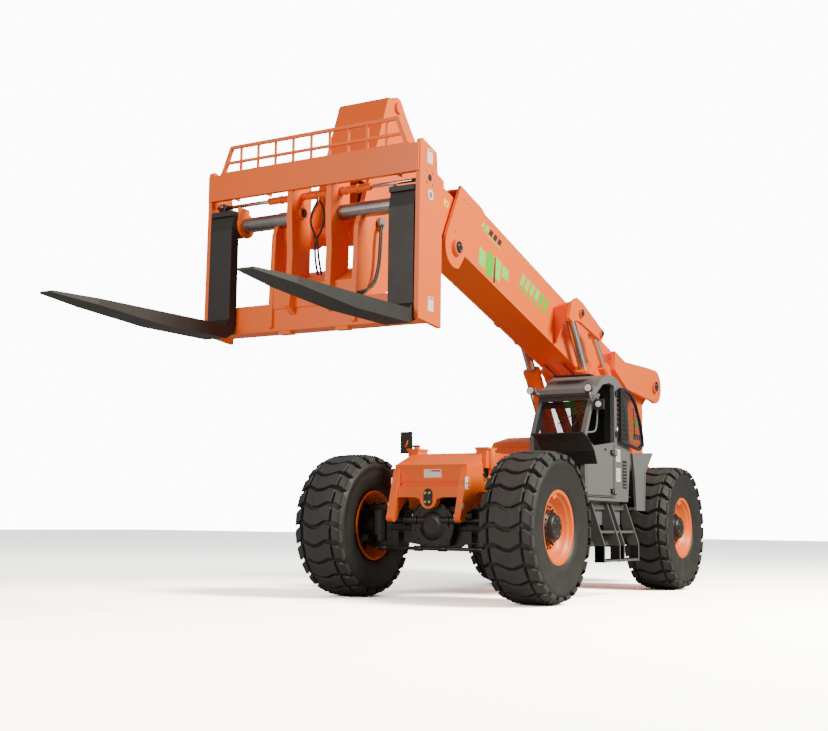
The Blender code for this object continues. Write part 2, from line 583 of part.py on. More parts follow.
def steps_mesh():
    """Two-rung cab steps: four swept side plates joined by the treads and a top rail."""
    plates = []
    for y in (1.36, 1.84, 1.98, 2.46):
        side = [
            (1.1403, 1.10), (1.20, 1.10), (1.30, 0.80), (1.36, 0.62), (1.36, 0.41), (1.24, 0.41), (1.24, 0.60),
            (1.16, 0.80), (1.1403, 0.86),
        ]
        plates.append(prism(side, y, y + 0.03, "y"))
    rails = [block((1.16, 1.30), (1.36, 2.49), (0.745, 0.775)), block((1.25, 1.355), (1.36, 2.49), (0.415, 0.440))]
    rails.append(block((1.1403, 1.17), (1.36, 2.49), (1.02, 1.08)))
    return weld(rails[0], rails[1], rails[2], *plates)


place("cab_steps", steps_mesh(), GREY)


def mudguard_mesh():
    """Curved guard behind the top of the front left tyre, with a folded outer lip and a stay to the cab."""
    skin = [(0.595, 1.842), (0.76, 1.775), (0.90, 1.66), (0.985, 1.52)]
    under = [(0.997, 1.525), (0.910, 1.670), (0.768, 1.787), (0.600, 1.855)]
    guard = prism(skin + under, 0.80, 1.43)
    stay = prism([(0.975, 1.52), (1.0689 - GAP, 1.52), (1.0671 - GAP, 1.585), (0.955, 1.585)], 1.20, 1.245)
    return weld(guard, stay)


place("front_left_mudguard", mudguard_mesh(), BLACK)


def fender_mesh():
    """Rear fender: upright wall ahead of the rear left tyre, flared back over it, with an outer web."""
    wall = [(2.90, 1.02), (2.93, 1.02), (2.97, 1.50), (3.24, 1.745), (3.225, 1.765), (2.94, 1.52)]
    skin = prism(wall, FRAME_HALF + 0.12, 1.28)
    web = prism([(2.64, 1.02), (2.90, 1.02), (2.96, 1.50), (3.20, 1.74), (2.52, 1.72), (2.60, 1.40)], 1.245, 1.275)
    inner = block((FRAME_HALF + GAP, 0.62), (2.60, 2.945), (1.04, 1.48))
    floor = block((0.56, 1.26), (2.62, 2.925), (1.03, 1.06))
    return weld(skin, web, inner, floor)


place("rear_left_fender", fender_mesh(), GREY)
mirror_head = block((-0.645, -0.505), (0.145, 0.185), (1.63, 1.88))
mirror_arm = block((-0.52, -0.40), (0.150, 0.180), (1.70 + GAP, 1.724))
place("front_mirror", weld(mirror_head, mirror_arm), BLACK)

# ---------------------------------------------------------------- boom
BOOM_TOP = BOOM_TOP_OVER_PIVOT
BOOM_BOTTOM = BOOM_TOP - BOOM_DEPTH
LOBE_T = BOOM_BOTTOM - 0.011
INNER_TOP = BOOM_TOP - INNER_DROP
INNER_BOTTOM = BOOM_BOTTOM + INNER_RISE


def boom_local(y, z):
    """(along, up) of a machine point."""
    dy, dz = PIVOT_Y - y, z - PIVOT_Z
    return dy * cos(BOOM_ANGLE) + dz * sin(BOOM_ANGLE), -dy * sin(BOOM_ANGLE) + dz * cos(BOOM_ANGLE)


def swept_nose(outline, side):
    """Front wall of an ear, swept back from the ear's outer plate to the boom's side."""
    mesh = boom_prism(outline, *sorted((side * (BOOM_HALF - 0.02), side * (EAR_OUT - 0.01))))
    for vertex in mesh.vertices:
        low = boom_local(vertex.co.y, vertex.co.z)[1] < EAR_LOW
        if low and abs(vertex.co.x) > BOOM_HALF:
            vertex.co.x = side * (BOOM_HALF + 0.06)
        back = (NOSE_LOW_SWEEP if low else NOSE_SWEEP) * (EAR_OUT - abs(vertex.co.x))
        vertex.co.y += back * cos(BOOM_ANGLE)
        vertex.co.z -= back * sin(BOOM_ANGLE)
    return mesh


def outer_boom_mesh():
    """Outer boom: box tube open at the head, head lobes with a roller pin, ears and rear pivot plates."""
    box = [
        (-0.13, BOOM_TOP), (BOOM_HEAD_S - 0.02, BOOM_TOP), (BOOM_HEAD_S + 0.10, BOOM_BOTTOM + 0.02),
        (5.60, BOOM_BOTTOM), (0.42, BOOM_BOTTOM), (-0.13, -0.13),
    ]
    pieces = [boom_prism(box, -BOOM_HALF, BOOM_HALF)]
    head = [
        (5.30, BOOM_TOP - 0.02), (5.42, BOOM_TOP + 0.022), (BOOM_HEAD_S, BOOM_TOP + 0.022),
        *arc((LOBE_S, LOBE_T), LOBE_RADIUS, 12, -125, 10), (5.62, BOOM_BOTTOM + 0.05),
    ]
    front_pin, rear_pin = boom_local(*LIFT_PIN), boom_local(*COMP_PIN)
    ear = [
        (front_pin[0] + 0.32, EAR_LOW), (front_pin[0] + 0.30, front_pin[1] + 0.02),
        (front_pin[0] + 0.16, front_pin[1] + 0.148), (front_pin[0] - 0.02, front_pin[1] + 0.165),
        (rear_pin[0] - 0.13, rear_pin[1] + 0.07), *arc(rear_pin, 0.095, 190, 290, 5),
        (front_pin[0] - 0.04, front_pin[1] - 0.115), (front_pin[0] + 0.08, front_pin[1] - 0.14),
        (front_pin[0] + 0.20, EAR_LOW),
    ]
    nose_wall = [
        (front_pin[0] + 0.330, BOOM_BOTTOM + 0.030), (front_pin[0] + 0.290, front_pin[1] + 0.012),
        (front_pin[0] + 0.215, front_pin[1] + 0.085), (front_pin[0] + 0.190, front_pin[1] + 0.065),
        (front_pin[0] + 0.26, front_pin[1] - 0.01), (front_pin[0] + 0.30, BOOM_BOTTOM + 0.030),
    ]
    rear = [
        (1.60, -0.10), (1.19, -0.095), (0.373, 0.158), *arc((-0.06, 0.02), 0.25, 80, 250, 10), (0.03, -0.235),
        (1.03, -0.445), (1.55, -0.36),
    ]
    for side in (1, -1):
        pieces.append(boom_prism(head, *sorted((side * (BOOM_HALF - 0.024), side * (BOOM_HALF + 0.012)))))
        pieces.append(boom_prism(ear, *sorted((side * (EAR_OUT - EAR_PLATE), side * EAR_OUT))))
        pieces.append(swept_nose(nose_wall, side))
        low, high = sorted((side * LOBE_PLATE_IN, side * LOBE_PLATE_OUT))
        pieces.append(boom_prism(rear, low, high))
        low, high = sorted((side * (BOOM_HALF - 0.02), side * (LOBE_PLATE_IN + 0.02)))
        pieces.append(boom_prism([(1.20, -0.12), (1.57, -0.12), (1.50, -0.33), (1.21, -0.39)], low, high))
        pieces.append(
            round_bar((side * (BOOM_HALF - 0.012), *on_boom(LOBE_S, LOBE_T)), (side * (BOOM_HALF + 0.045), *on_boom(LOBE_S, LOBE_T)), 0.095, 16)
        )
        for pin in (front_pin, rear_pin):
            inner_end = LIFT_X + LIFT_EYE_HALF + GAP if pin is front_pin else COMP_X + COMP_EYE_HALF + GAP
            pieces.append(
                round_bar((side * inner_end, *on_boom(*pin)), (side * (EAR_OUT + 0.02), *on_boom(*pin)), 0.055, 16)
            )
    cavity = [(0.70, BOOM_TOP - BOOM_WALL), (6.40, BOOM_TOP - BOOM_WALL), (6.40, BOOM_BOTTOM + BOOM_WALL), (0.70, BOOM_BOTTOM + BOOM_WALL)]
    bore = round_bar((-0.6, PIVOT_Y, PIVOT_Z), (0.6, PIVOT_Y, PIVOT_Z), bore_for(0.085, 32), 32)
    cuts = [boom_prism(cavity, -BOOM_HALF + BOOM_WALL, BOOM_HALF - BOOM_WALL), bore]
    pad = [
        (5.50, BOOM_BOTTOM + 0.015), (5.80, BOOM_BOTTOM + 0.015), (5.80, INNER_BOTTOM - 2 * GAP),
        (5.50, INNER_BOTTOM - 2 * GAP),
    ]
    return weld(weld(*pieces, cut=cuts), boom_prism(pad, -0.12, 0.12))


def inner_boom_mesh():
    """Inner boom: box tube with the two-cheek head that carries the tilt pivot and the tilt cylinder's pin."""
    tube = [(0.80, INNER_TOP), (6.92, INNER_TOP), (7.05, INNER_BOTTOM), (0.80, INNER_BOTTOM)]
    pieces = [boom_prism(tube, -INNER_HALF, INNER_HALF)]
    cheek = [
        (-0.56, 4.03), (-0.56, 4.55), (-1.00, 4.70), (-1.185, 4.83), (-1.300, 4.95), *arc(HEAD_PIN, 0.112, 20, 150, 8),
        (-1.96, 4.545), (-2.14, 3.98), *arc(TILT_PIVOT, 0.150, 130, 320, 10), (-1.40, 3.72), (-0.90, 3.86),
    ]
    for side in (1, -1):
        pieces.append(prism(cheek, *sorted((side * (HEAD_HALF - HEAD_PLATE), side * HEAD_HALF))))
        low, high = sorted((side * (HEAD_HALF - 0.02), side * (HEAD_HALF + 0.03)))
        pieces.append(round_bar((low, *HEAD_PIN), (high, *HEAD_PIN), 0.062, 16))
        low, high = sorted((side * (TILT_BARREL_RADIUS + 0.012), side * (HEAD_HALF - 0.02)))
        pieces.append(round_bar((low, *HEAD_PIN), (high, *HEAD_PIN), 0.055, 16))
        pieces.append(prism([(-0.60, 4.06), (-0.60, 4.50), (-1.10, 4.62), (-1.10, 3.90)], *sorted((side * (INNER_HALF - 0.02), side * (HEAD_HALF - 0.02)))))
    front = [(-1.735, 5.135), (-1.700, 5.155), (-1.640, 5.13), (-1.905, 4.50), (-1.955, 4.54)]
    pieces.append(prism(front, -HEAD_HALF, HEAD_HALF))
    pieces.append(prism([(-1.20, 4.60), (-1.20, 4.22), (-0.95, 4.10), (-0.95, 4.50)], -HEAD_HALF + 0.02, HEAD_HALF - 0.02))
    bore = round_bar((-0.6, *TILT_PIVOT), (0.6, *TILT_PIVOT), bore_for(0.0525, 32), 32)
    hollow = [(0.70, INNER_TOP - BOOM_WALL), (6.60, INNER_TOP - BOOM_WALL), (6.60, INNER_BOTTOM + BOOM_WALL), (0.70, INNER_BOTTOM + BOOM_WALL)]
    inside = boom_prism(hollow, -INNER_HALF + BOOM_WALL, INNER_HALF - BOOM_WALL)
    return weld(*pieces, cut=[bore, inside])


place("outer_boom", outer_boom_mesh(), ORANGE, (0, PIVOT_Y, PIVOT_Z))
place("inner_boom", inner_boom_mesh(), ORANGE, (0, *on_boom(0.80, INNER_TOP)))


# ---------------------------------------------------------------- cylinders
def cylinder_pair(name, x, base, pin, radii, collar_share, eye_half, bore_depth, paints):
    """A hydraulic cylinder between two pins: a barrel with its eye, and a rod with its eye, as two pieces.

    bore_depth holds the distances from the base pin to the bore's floor and to the rod's inner end at rest.
    """
    barrel_radius, rod_radius, eye_radius = radii
    start, end = Vector((x, *base)), Vector((x, *pin))
    along = (end - start).normalized()
    length = (end - start).length
    mouth = start + along * length * collar_share
    bottom = start + along * (eye_radius + 0.030)
    clear = rod_radius + 0.0005
    barrel = weld(
        round_bar(bottom, mouth, barrel_radius, 20),
        round_bar(mouth - along * 0.07, mouth + along * 0.012, barrel_radius + 0.008, 20),
        round_bar(start, bottom + along * 0.05, eye_half * 0.92, 12),
        round_bar((x - eye_half, *base), (x + eye_half, *base), eye_radius, 16),
        cut=[round_bar(start + along * bore_depth[0], mouth + along * 0.1, clear, 16)],
    )
    rod = weld(
        round_bar(start + along * bore_depth[1], end - along * eye_radius * 0.75, rod_radius, 16),
        round_bar((x - eye_half, *pin), (x + eye_half, *pin), eye_radius * 0.92, 16),
    )
    place(f"{name}_barrel", barrel, paints[0], start)
    place(f"{name}_rod", rod, paints[1], end)


for hand, side in SIDES:
    cylinder_pair(
        f"{hand}_lift", side * LIFT_X, LIFT_BASE, LIFT_PIN,
        (LIFT_BARREL_RADIUS, LIFT_ROD_RADIUS, 0.110), 0.735, LIFT_EYE_HALF,
        (0.20, 0.86), (ORANGE, STEEL),
    )
    cylinder_pair(
        f"{hand}_level", side * COMP_X, COMP_BASE, COMP_PIN,
        (COMP_BARREL_RADIUS, COMP_ROD_RADIUS, 0.078), 0.74, COMP_EYE_HALF,
        (0.14, 0.58), (ORANGE, STEEL),
    )
cylinder_pair(
    "tilt", 0.0, HEAD_PIN, TILT_LUG, (TILT_BARREL_RADIUS, TILT_ROD_RADIUS, 0.085), 0.68, 0.060, (0.18, 0.70), (BLACK, STEEL)
)


# ---------------------------------------------------------------- carriage and forks
def carriage_mesh():
    """Fork carriage: two cross beams, end plates, centre posts, pivot plates, pivot tube and tilt lug."""
    front = CARRIAGE_FRONT_Y
    half = CARRIAGE_HALF
    beam_front = front + FORK_BACK + 0.005
    pieces = [
        block((-half + 0.01, half - 0.01), (front, front + BEAM_THICK), TOP_BEAM_Z),
        block((-half + 0.01, half - 0.01), (front, front + 0.20), (TOP_BEAM_Z[1] - 0.04, TOP_BEAM_Z[1])),
        block((-half + 0.01, half - 0.01), (beam_front, beam_front + 0.10), BOTTOM_BEAM_Z),
        block((-half + 0.01, half - 0.01), (beam_front, front + 0.36), (BOTTOM_BEAM_Z[0], BOTTOM_BEAM_Z[0] + 0.05)),
    ]
    end = [
        (front + 0.005, BOTTOM_BEAM_Z[0] - 0.005), (front + 0.02, TOP_BEAM_Z[1] + 0.03), (front + 0.06, TOP_BEAM_Z[1] + 0.055),
        (-2.36, TOP_BEAM_Z[1] - 0.02), (-2.34, 4.06), (-2.26, 3.60), (-2.26, BOTTOM_BEAM_Z[0] - 0.045),
    ]
    post = [
        (front + 0.03, TOP_BEAM_Z[0] + 0.05), (front + 0.02, 3.80), (front + 0.045, 3.40), (front + 0.03, 3.05),
        (front + 0.01, BOTTOM_BEAM_Z[1] - 0.05), (front + 0.28, BOTTOM_BEAM_Z[1] - 0.25), (-2.345, 3.30), (-2.345, TOP_BEAM_Z[0] + 0.10),
    ]
    plate = [
        (-2.60, 2.70), (-2.56, 3.62), (-2.45, 3.87), (-2.24, 3.93), (-2.03, 3.82), (-2.02, 3.55), (-2.02, 3.10), (-2.20, 2.90), (-2.32, 2.70),
    ]
    for side in (1, -1):
        pieces.append(prism(end, *sorted((side * (half - END_PLATE), side * half))))
        pieces.append(prism(post, *sorted((side * 0.195, side * 0.258))))
        pieces.append(prism(plate, *sorted((side * 0.455, side * 0.505))))
        pieces.append(round_bar((side * 0.50, *TILT_PIVOT), (side * 0.53, *TILT_PIVOT), 0.060, 16))
    pieces.append(round_bar((-0.51, *TILT_PIVOT), (0.51, *TILT_PIVOT), 0.0525, 32))
    lug_web = [(-2.58, 2.88), (-2.58, 3.10), (-2.40, 3.20), (-2.06, 3.33), (-2.02, 3.33), (-2.02, 3.06)]
    pieces.append(prism(lug_web, -0.50, 0.50))
    for side in (1, -1):
        ear = [(-2.10, 3.12), (-2.10, 3.32), *arc(TILT_LUG, 0.085, 110, -110, 8)]
        pieces.append(prism(ear, *sorted((side * 0.075, side * 0.115))))
        pieces.append(round_bar((side * (0.060 + GAP), *TILT_LUG), (side * 0.10, *TILT_LUG), 0.045, 14))
    shaft_cuts = [
        round_bar(
            (side * (SHAFT_INNER_X - GAP), SHAFT_Y, SHAFT_Z), (side * (half - 0.030), SHAFT_Y, SHAFT_Z),
            SHAFT_RADIUS + GAP, 24,
        )
        for side in (1, -1)
    ]
    reach = POSITIONER_HALF + 0.02
    positioner_cut = round_bar((-reach, POSITIONER_Y, POSITIONER_Z), (reach, POSITIONER_Y, POSITIONER_Z), 0.0363, 16)
    return weld(*pieces, cut=[*shaft_cuts, positioner_cut])


def backrest_mesh():
    """Load backrest: two rails, slanted ends and nine uprights."""
    y = CARRIAGE_FRONT_Y + 0.045
    low, mid, top = TOP_BEAM_Z[1] + GAP, 4.395, 4.548
    def rail(x_low, x_high, z, thick):
        return block((x_low, x_high), (y - 0.016, y + 0.016), (z - thick, z + thick))
    pieces = [rail(-0.985, 0.985, top, 0.016), rail(-1.04, 1.04, mid, 0.012), rail(-1.10, 1.10, low + 0.014, 0.014)]
    for side in (1, -1):
        post = [(side * 1.10, low), (side * 1.055, low), (side * 0.945, top + 0.012), (side * 0.985, top + 0.012)]
        pieces.append(prism(post, y - 0.016, y + 0.016, "y"))
    for k in range(9):
        x = -0.852 + 0.213 * k
        pieces.append(block((x - 0.011, x + 0.011), (y - 0.010, y + 0.010), (low + 0.005, top)))
    return weld(*pieces)


def fork_mesh(x):
    """One fork: eye on the shaft, shank, heel and a blade that tapers to its tip, with the positioner's rod."""
    half = FORK_WIDTH / 2
    front = CARRIAGE_FRONT_Y + FORK_BACK
    face = front - FORK_SHANK
    bottom = FORK_BOTTOM_Z
    side = 1 if x > 0 else -1
    shape = [
        (front, 3.70), (front, bottom + 0.155), (front - 0.03, bottom + 0.06), (face - 0.03, bottom),
        (-3.60, bottom), (FORK_TIP_Y, bottom + 0.095), (FORK_TIP_Y, bottom + 0.115), (-3.60, bottom + 0.125),
        (face - 0.06, bottom + 0.130), (face, bottom + 0.19), (face, 3.70), (face + 0.03, 3.84), (front, 3.84),
    ]
    blade = prism(shape, x - half, x + half)
    tip = []
    for end in (-1, 1):
        corner = [(x + end * (half + 0.01), FORK_TIP_Y + 0.55), (x + end * (half + 0.01), FORK_TIP_Y - 0.01), (x + end * half * 0.55, FORK_TIP_Y - 0.01)]
        tip.append(prism(corner, bottom - 0.1, bottom + 0.3, "z"))
    eye = round_bar((x - half, SHAFT_Y, SHAFT_Z), (x + half, SHAFT_Y, SHAFT_Z), SHAFT_RADIUS + 0.045, 20)
    bridge = block((x - half + 0.004, x + half - 0.004), (face + 0.04, SHAFT_Y), (3.70, 3.845))
    lug = block(sorted((x + side * half, x + side * (half - 0.05))), (SHAFT_Y - 0.06, SHAFT_Y + 0.04), (3.80, POSITIONER_Z + 0.03))
    rod = round_bar((x + side * (half - 0.03), POSITIONER_Y, POSITIONER_Z), (side * 0.54, POSITIONER_Y, POSITIONER_Z), 0.019, 12)
    bore = round_bar((x - half - 0.1, SHAFT_Y, SHAFT_Z), (x + half + 0.1, SHAFT_Y, SHAFT_Z), SHAFT_RADIUS + 0.002, 24)
    return weld(blade, eye, bridge, lug, rod, cut=[bore, *tip])


place("fork_carriage", carriage_mesh(), ORANGE, (0, *TILT_PIVOT))
place("carriage_backrest", backrest_mesh(), ORANGE, (0, *TILT_PIVOT))
for word, side in SIDES:
    inner, outer = side * SHAFT_INNER_X, side * (CARRIAGE_HALF - 0.031)
    shaft = round_bar((inner, SHAFT_Y, SHAFT_Z), (outer, SHAFT_Y, SHAFT_Z), SHAFT_RADIUS, 24)
    place(word + "_fork_shaft", shaft, STEEL, (0, *TILT_PIVOT))
positioner = weld(
    round_bar((-POSITIONER_HALF, POSITIONER_Y, POSITIONER_Z), (POSITIONER_HALF, POSITIONER_Y, POSITIONER_Z), 0.036, 16),
    cut=[
        round_bar((0.04, POSITIONER_Y, POSITIONER_Z), (1.0, POSITIONER_Y, POSITIONER_Z), 0.0198, 12),
        round_bar((-0.04, POSITIONER_Y, POSITIONER_Z), (-1.0, POSITIONER_Y, POSITIONER_Z), 0.0198, 12),
    ],
)
place("fork_positioner", positioner, ORANGE, (0, *TILT_PIVOT))
place("left_fork", fork_mesh(FORK_X), FORGED, (FORK_X, SHAFT_Y, SHAFT_Z))
place("right_fork", fork_mesh(-FORK_X), FORGED, (-FORK_X, SHAFT_Y, SHAFT_Z))

# ---------------------------------------------------------------- origin under the middle of the overall length
reach = [piece.location.y + vertex.co.y for piece in ROOT.children for vertex in piece.data.vertices]
ROOT.location = (0, -(min(reach) + max(reach)) / 2, 0)
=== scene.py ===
# %% [markdown]
# # Heavy telescopic handler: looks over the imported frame
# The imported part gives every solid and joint. This script dresses it: tyre treads, rims, bolts, hoses, decals,
# cab fittings and paint. Places are written in the machine's own axes (+X its left, -Y forward, +Z up, with
# Y = 0 on the front axle) and moved onto the frame by one shift, so they follow the part.

import json
from math import cos, pi, radians, sin

import bmesh
import bpy
from mathutils import Matrix, Vector


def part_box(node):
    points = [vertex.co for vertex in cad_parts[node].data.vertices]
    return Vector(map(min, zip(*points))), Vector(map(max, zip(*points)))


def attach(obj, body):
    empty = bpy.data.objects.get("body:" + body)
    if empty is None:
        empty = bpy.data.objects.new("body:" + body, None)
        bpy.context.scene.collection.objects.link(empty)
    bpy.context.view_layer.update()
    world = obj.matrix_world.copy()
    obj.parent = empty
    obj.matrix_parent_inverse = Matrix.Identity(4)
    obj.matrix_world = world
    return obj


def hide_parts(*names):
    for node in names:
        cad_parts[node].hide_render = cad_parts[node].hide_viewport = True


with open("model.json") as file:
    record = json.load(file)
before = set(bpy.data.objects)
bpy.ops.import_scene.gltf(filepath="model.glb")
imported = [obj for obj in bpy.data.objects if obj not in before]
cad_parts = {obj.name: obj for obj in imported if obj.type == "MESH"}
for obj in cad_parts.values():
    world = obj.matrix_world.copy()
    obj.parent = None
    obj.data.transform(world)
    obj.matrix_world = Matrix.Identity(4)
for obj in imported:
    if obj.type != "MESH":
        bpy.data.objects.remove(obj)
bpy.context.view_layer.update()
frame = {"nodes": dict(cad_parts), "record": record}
SIDES = (("left", 1), ("right", -1))


def centre_of(node):
    """Middle of a frame node's box."""
    low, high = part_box(node)
    return (low + high) / 2


SHIFT = centre_of("front_left_tyre").y
WHEELBASE = centre_of("rear_left_tyre").y - SHIFT
HALF_TRACK = centre_of("front_left_tyre").x
TYRE_RADIUS = centre_of("front_left_tyre").z
TYRE_HALF = (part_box("front_left_tyre")[1].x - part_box("front_left_tyre")[0].x) / 2
RIM_RADIUS = (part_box("front_left_rim")[1].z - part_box("front_left_rim")[0].z) / 2
PIVOT = (5.624, 2.896)
BOOM_ANGLE = radians(16.02)
BOOM_TOP, BOOM_BOTTOM, BOOM_HALF = 0.068, -0.642, 0.24
print("wheelbase", round(WHEELBASE, 3), "half track", round(HALF_TRACK, 3), "tyre radius",
      round(TYRE_RADIUS, 3))


def at(x, y, z):
    """A point in the machine's axes, moved onto the frame."""
    return Vector((x, y + SHIFT, z))


def on_boom(x, along, up):
    """A point given along the resting boom from its pivot, and square to it."""
    return at(
        x,
        PIVOT[0] - along * cos(BOOM_ANGLE) + up * sin(BOOM_ANGLE),
        PIVOT[1] + along * sin(BOOM_ANGLE) + up * cos(BOOM_ANGLE),
    )

# %% [markdown]
# ## Finishes
# The real machine wears one gloss paint, bare forged forks, chrome rods and dull rubber. Each could be a flat
# colour, but large panels always drift a little in tone and in gloss. So one node group breaks a colour up with
# soft clouds and gives fine grain for a Bump node, and a second lays pale dust that gathers low on the machine.
# Every finish places both groups with its own amounts, which keeps the whole machine under one light and age.

# %% Shared surface effects
def new_group(name, inputs, outputs):
    """An empty shader group with named sockets."""
    group = bpy.data.node_groups.new(name, "ShaderNodeTree")
    for label, kind, value in inputs:
        socket = group.interface.new_socket(label, in_out="INPUT", socket_type=kind)
        socket.default_value = value
    for label, kind in outputs:
        group.interface.new_socket(label, in_out="OUTPUT", socket_type=kind)
    return group, group.nodes.new("NodeGroupInput"), group.nodes.new("NodeGroupOutput")


def clouded_group():
    """Colour varied by soft clouds, with a matching roughness and a height for fine surface texture."""
    group, given, out = new_group(
        "clouded_surface",
        [("Colour", "NodeSocketColor", (0.5, 0.5, 0.5, 1)),
         ("Cloud Colour", "NodeSocketColor", (0.4, 0.4, 0.4, 1)),
         ("Cloud Amount", "NodeSocketFloat", 0.3), ("Cloud Scale", "NodeSocketFloat", 2.0),
         ("Grain Scale", "NodeSocketFloat", 60.0), ("Roughness", "NodeSocketFloat", 0.4)],
        [("Colour", "NodeSocketColor"), ("Roughness", "NodeSocketFloat"), ("Height", "NodeSocketFloat")],
    )
    nodes, links = group.nodes, group.links
    place = nodes.new("ShaderNodeTexCoord")
    clouds = nodes.new("ShaderNodeTexNoise")
    clouds.inputs["Detail"].default_value = 3.0
    grain = nodes.new("ShaderNodeTexNoise")
    grain.inputs["Detail"].default_value = 4.0
    share = nodes.new("ShaderNodeMath")
    share.operation = "MULTIPLY"
    mix = nodes.new("ShaderNodeMix")
    mix.data_type = "RGBA"
    rough = nodes.new("ShaderNodeMath")
    rough.operation = "MULTIPLY_ADD"
    rough.inputs[1].default_value = 0.14
    links.new(place.outputs["Object"], clouds.inputs["Vector"])
    links.new(place.outputs["Object"], grain.inputs["Vector"])
    links.new(given.outputs["Cloud Scale"], clouds.inputs["Scale"])
    links.new(given.outputs["Grain Scale"], grain.inputs["Scale"])
    links.new(clouds.outputs["Fac"], share.inputs[0])
    links.new(given.outputs["Cloud Amount"], share.inputs[1])
    links.new(share.outputs[0], mix.inputs["Factor"])
    links.new(given.outputs["Colour"], mix.inputs["A"])
    links.new(given.outputs["Cloud Colour"], mix.inputs["B"])
    links.new(clouds.outputs["Fac"], rough.inputs[0])
    links.new(given.outputs["Roughness"], rough.inputs[2])
    links.new(mix.outputs["Result"], out.inputs["Colour"])
    links.new(rough.outputs[0], out.inputs["Roughness"])
    links.new(grain.outputs["Fac"], out.inputs["Height"])
    return group


def dusted_group():
    """Dust laid over a colour, thickest near the ground and broken up by noise."""
    group, given, out = new_group(
        "low_dust",
        [("Colour", "NodeSocketColor", (0.5, 0.5, 0.5, 1)), ("Dust", "NodeSocketColor", (0.35, 0.32, 0.28, 1)),
         ("Amount", "NodeSocketFloat", 0.2), ("Top", "NodeSocketFloat", 1.5)],
        [("Colour", "NodeSocketColor"), ("Mask", "NodeSocketFloat")],
    )
    nodes, links = group.nodes, group.links
    place = nodes.new("ShaderNodeTexCoord")
    split = nodes.new("ShaderNodeSeparateXYZ")
    fade = nodes.new("ShaderNodeMapRange")
    fade.inputs["To Min"].default_value = 1.0
    fade.inputs["To Max"].default_value = 0.0
    noise = nodes.new("ShaderNodeTexNoise")
    noise.inputs["Scale"].default_value = 7.0
    noise.inputs["Detail"].default_value = 5.0
    patch = nodes.new("ShaderNodeMath")
    patch.operation = "MULTIPLY"
    amount = nodes.new("ShaderNodeMath")
    amount.operation = "MULTIPLY"
    mix = nodes.new("ShaderNodeMix")
    mix.data_type = "RGBA"
    links.new(place.outputs["Object"], split.inputs[0])
    links.new(place.outputs["Object"], noise.inputs["Vector"])
    links.new(split.outputs["Z"], fade.inputs["Value"])
    links.new(given.outputs["Top"], fade.inputs["From Max"])
    links.new(fade.outputs["Result"], patch.inputs[0])
    links.new(noise.outputs["Fac"], patch.inputs[1])
    links.new(patch.outputs[0], amount.inputs[0])
    links.new(given.outputs["Amount"], amount.inputs[1])
    links.new(amount.outputs[0], mix.inputs["Factor"])
    links.new(given.outputs["Colour"], mix.inputs["A"])
    links.new(given.outputs["Dust"], mix.inputs["B"])
    links.new(mix.outputs["Result"], out.inputs["Colour"])
    links.new(amount.outputs[0], out.inputs["Mask"])
    return group


CLOUDED = clouded_group()
DUSTED = dusted_group()


def finish(name, colour, cloud, roughness, amount=0.3, scale=1.6, grain=90.0, bump=0.03, metallic=0.0, dust=0.0,
           coat=0.0):
    """A painted, rubber or metal finish from the two shared effects."""
    material = bpy.data.materials.new(name)
    material.use_nodes = True
    nodes, links = material.node_tree.nodes, material.node_tree.links
    shader = nodes["Principled BSDF"]
    shader.inputs["Metallic"].default_value = metallic
    shader.inputs["Coat Weight"].default_value = coat
    shader.inputs["Coat Roughness"].default_value = 0.12
    clouded = nodes.new("ShaderNodeGroup")
    clouded.node_tree = CLOUDED
    clouded.inputs["Colour"].default_value = (*colour, 1)
    clouded.inputs["Cloud Colour"].default_value = (*cloud, 1)
    clouded.inputs["Cloud Amount"].default_value = amount
    clouded.inputs["Cloud Scale"].default_value = scale
    clouded.inputs["Grain Scale"].default_value = grain
    clouded.inputs["Roughness"].default_value = roughness
    dusted = nodes.new("ShaderNodeGroup")
    dusted.node_tree = DUSTED
    dusted.inputs["Amount"].default_value = dust
    relief = nodes.new("ShaderNodeBump")
    relief.inputs["Strength"].default_value = bump
    relief.inputs["Distance"].default_value = 0.01
    links.new(clouded.outputs["Colour"], dusted.inputs["Colour"])
    links.new(dusted.outputs["Colour"], shader.inputs["Base Color"])
    links.new(clouded.outputs["Roughness"], shader.inputs["Roughness"])
    links.new(clouded.outputs["Height"], relief.inputs["Height"])
    links.new(relief.outputs["Normal"], shader.inputs["Normal"])
    return material


def plain(name, colour, roughness, metallic=0.0, alpha=1.0, glow=0.0):
    """A small finish with one value on each of the shader's own sockets."""
    material = bpy.data.materials.new(name)
    material.use_nodes = True
    shader = material.node_tree.nodes["Principled BSDF"]
    shader.inputs["Base Color"].default_value = (*colour, 1)
    shader.inputs["Roughness"].default_value = roughness
    shader.inputs["Metallic"].default_value = metallic
    shader.inputs["Alpha"].default_value = alpha
    if glow:
        shader.inputs["Emission Color"].default_value = (*colour, 1)
        shader.inputs["Emission Strength"].default_value = glow
    return material


print("shared surface effects")

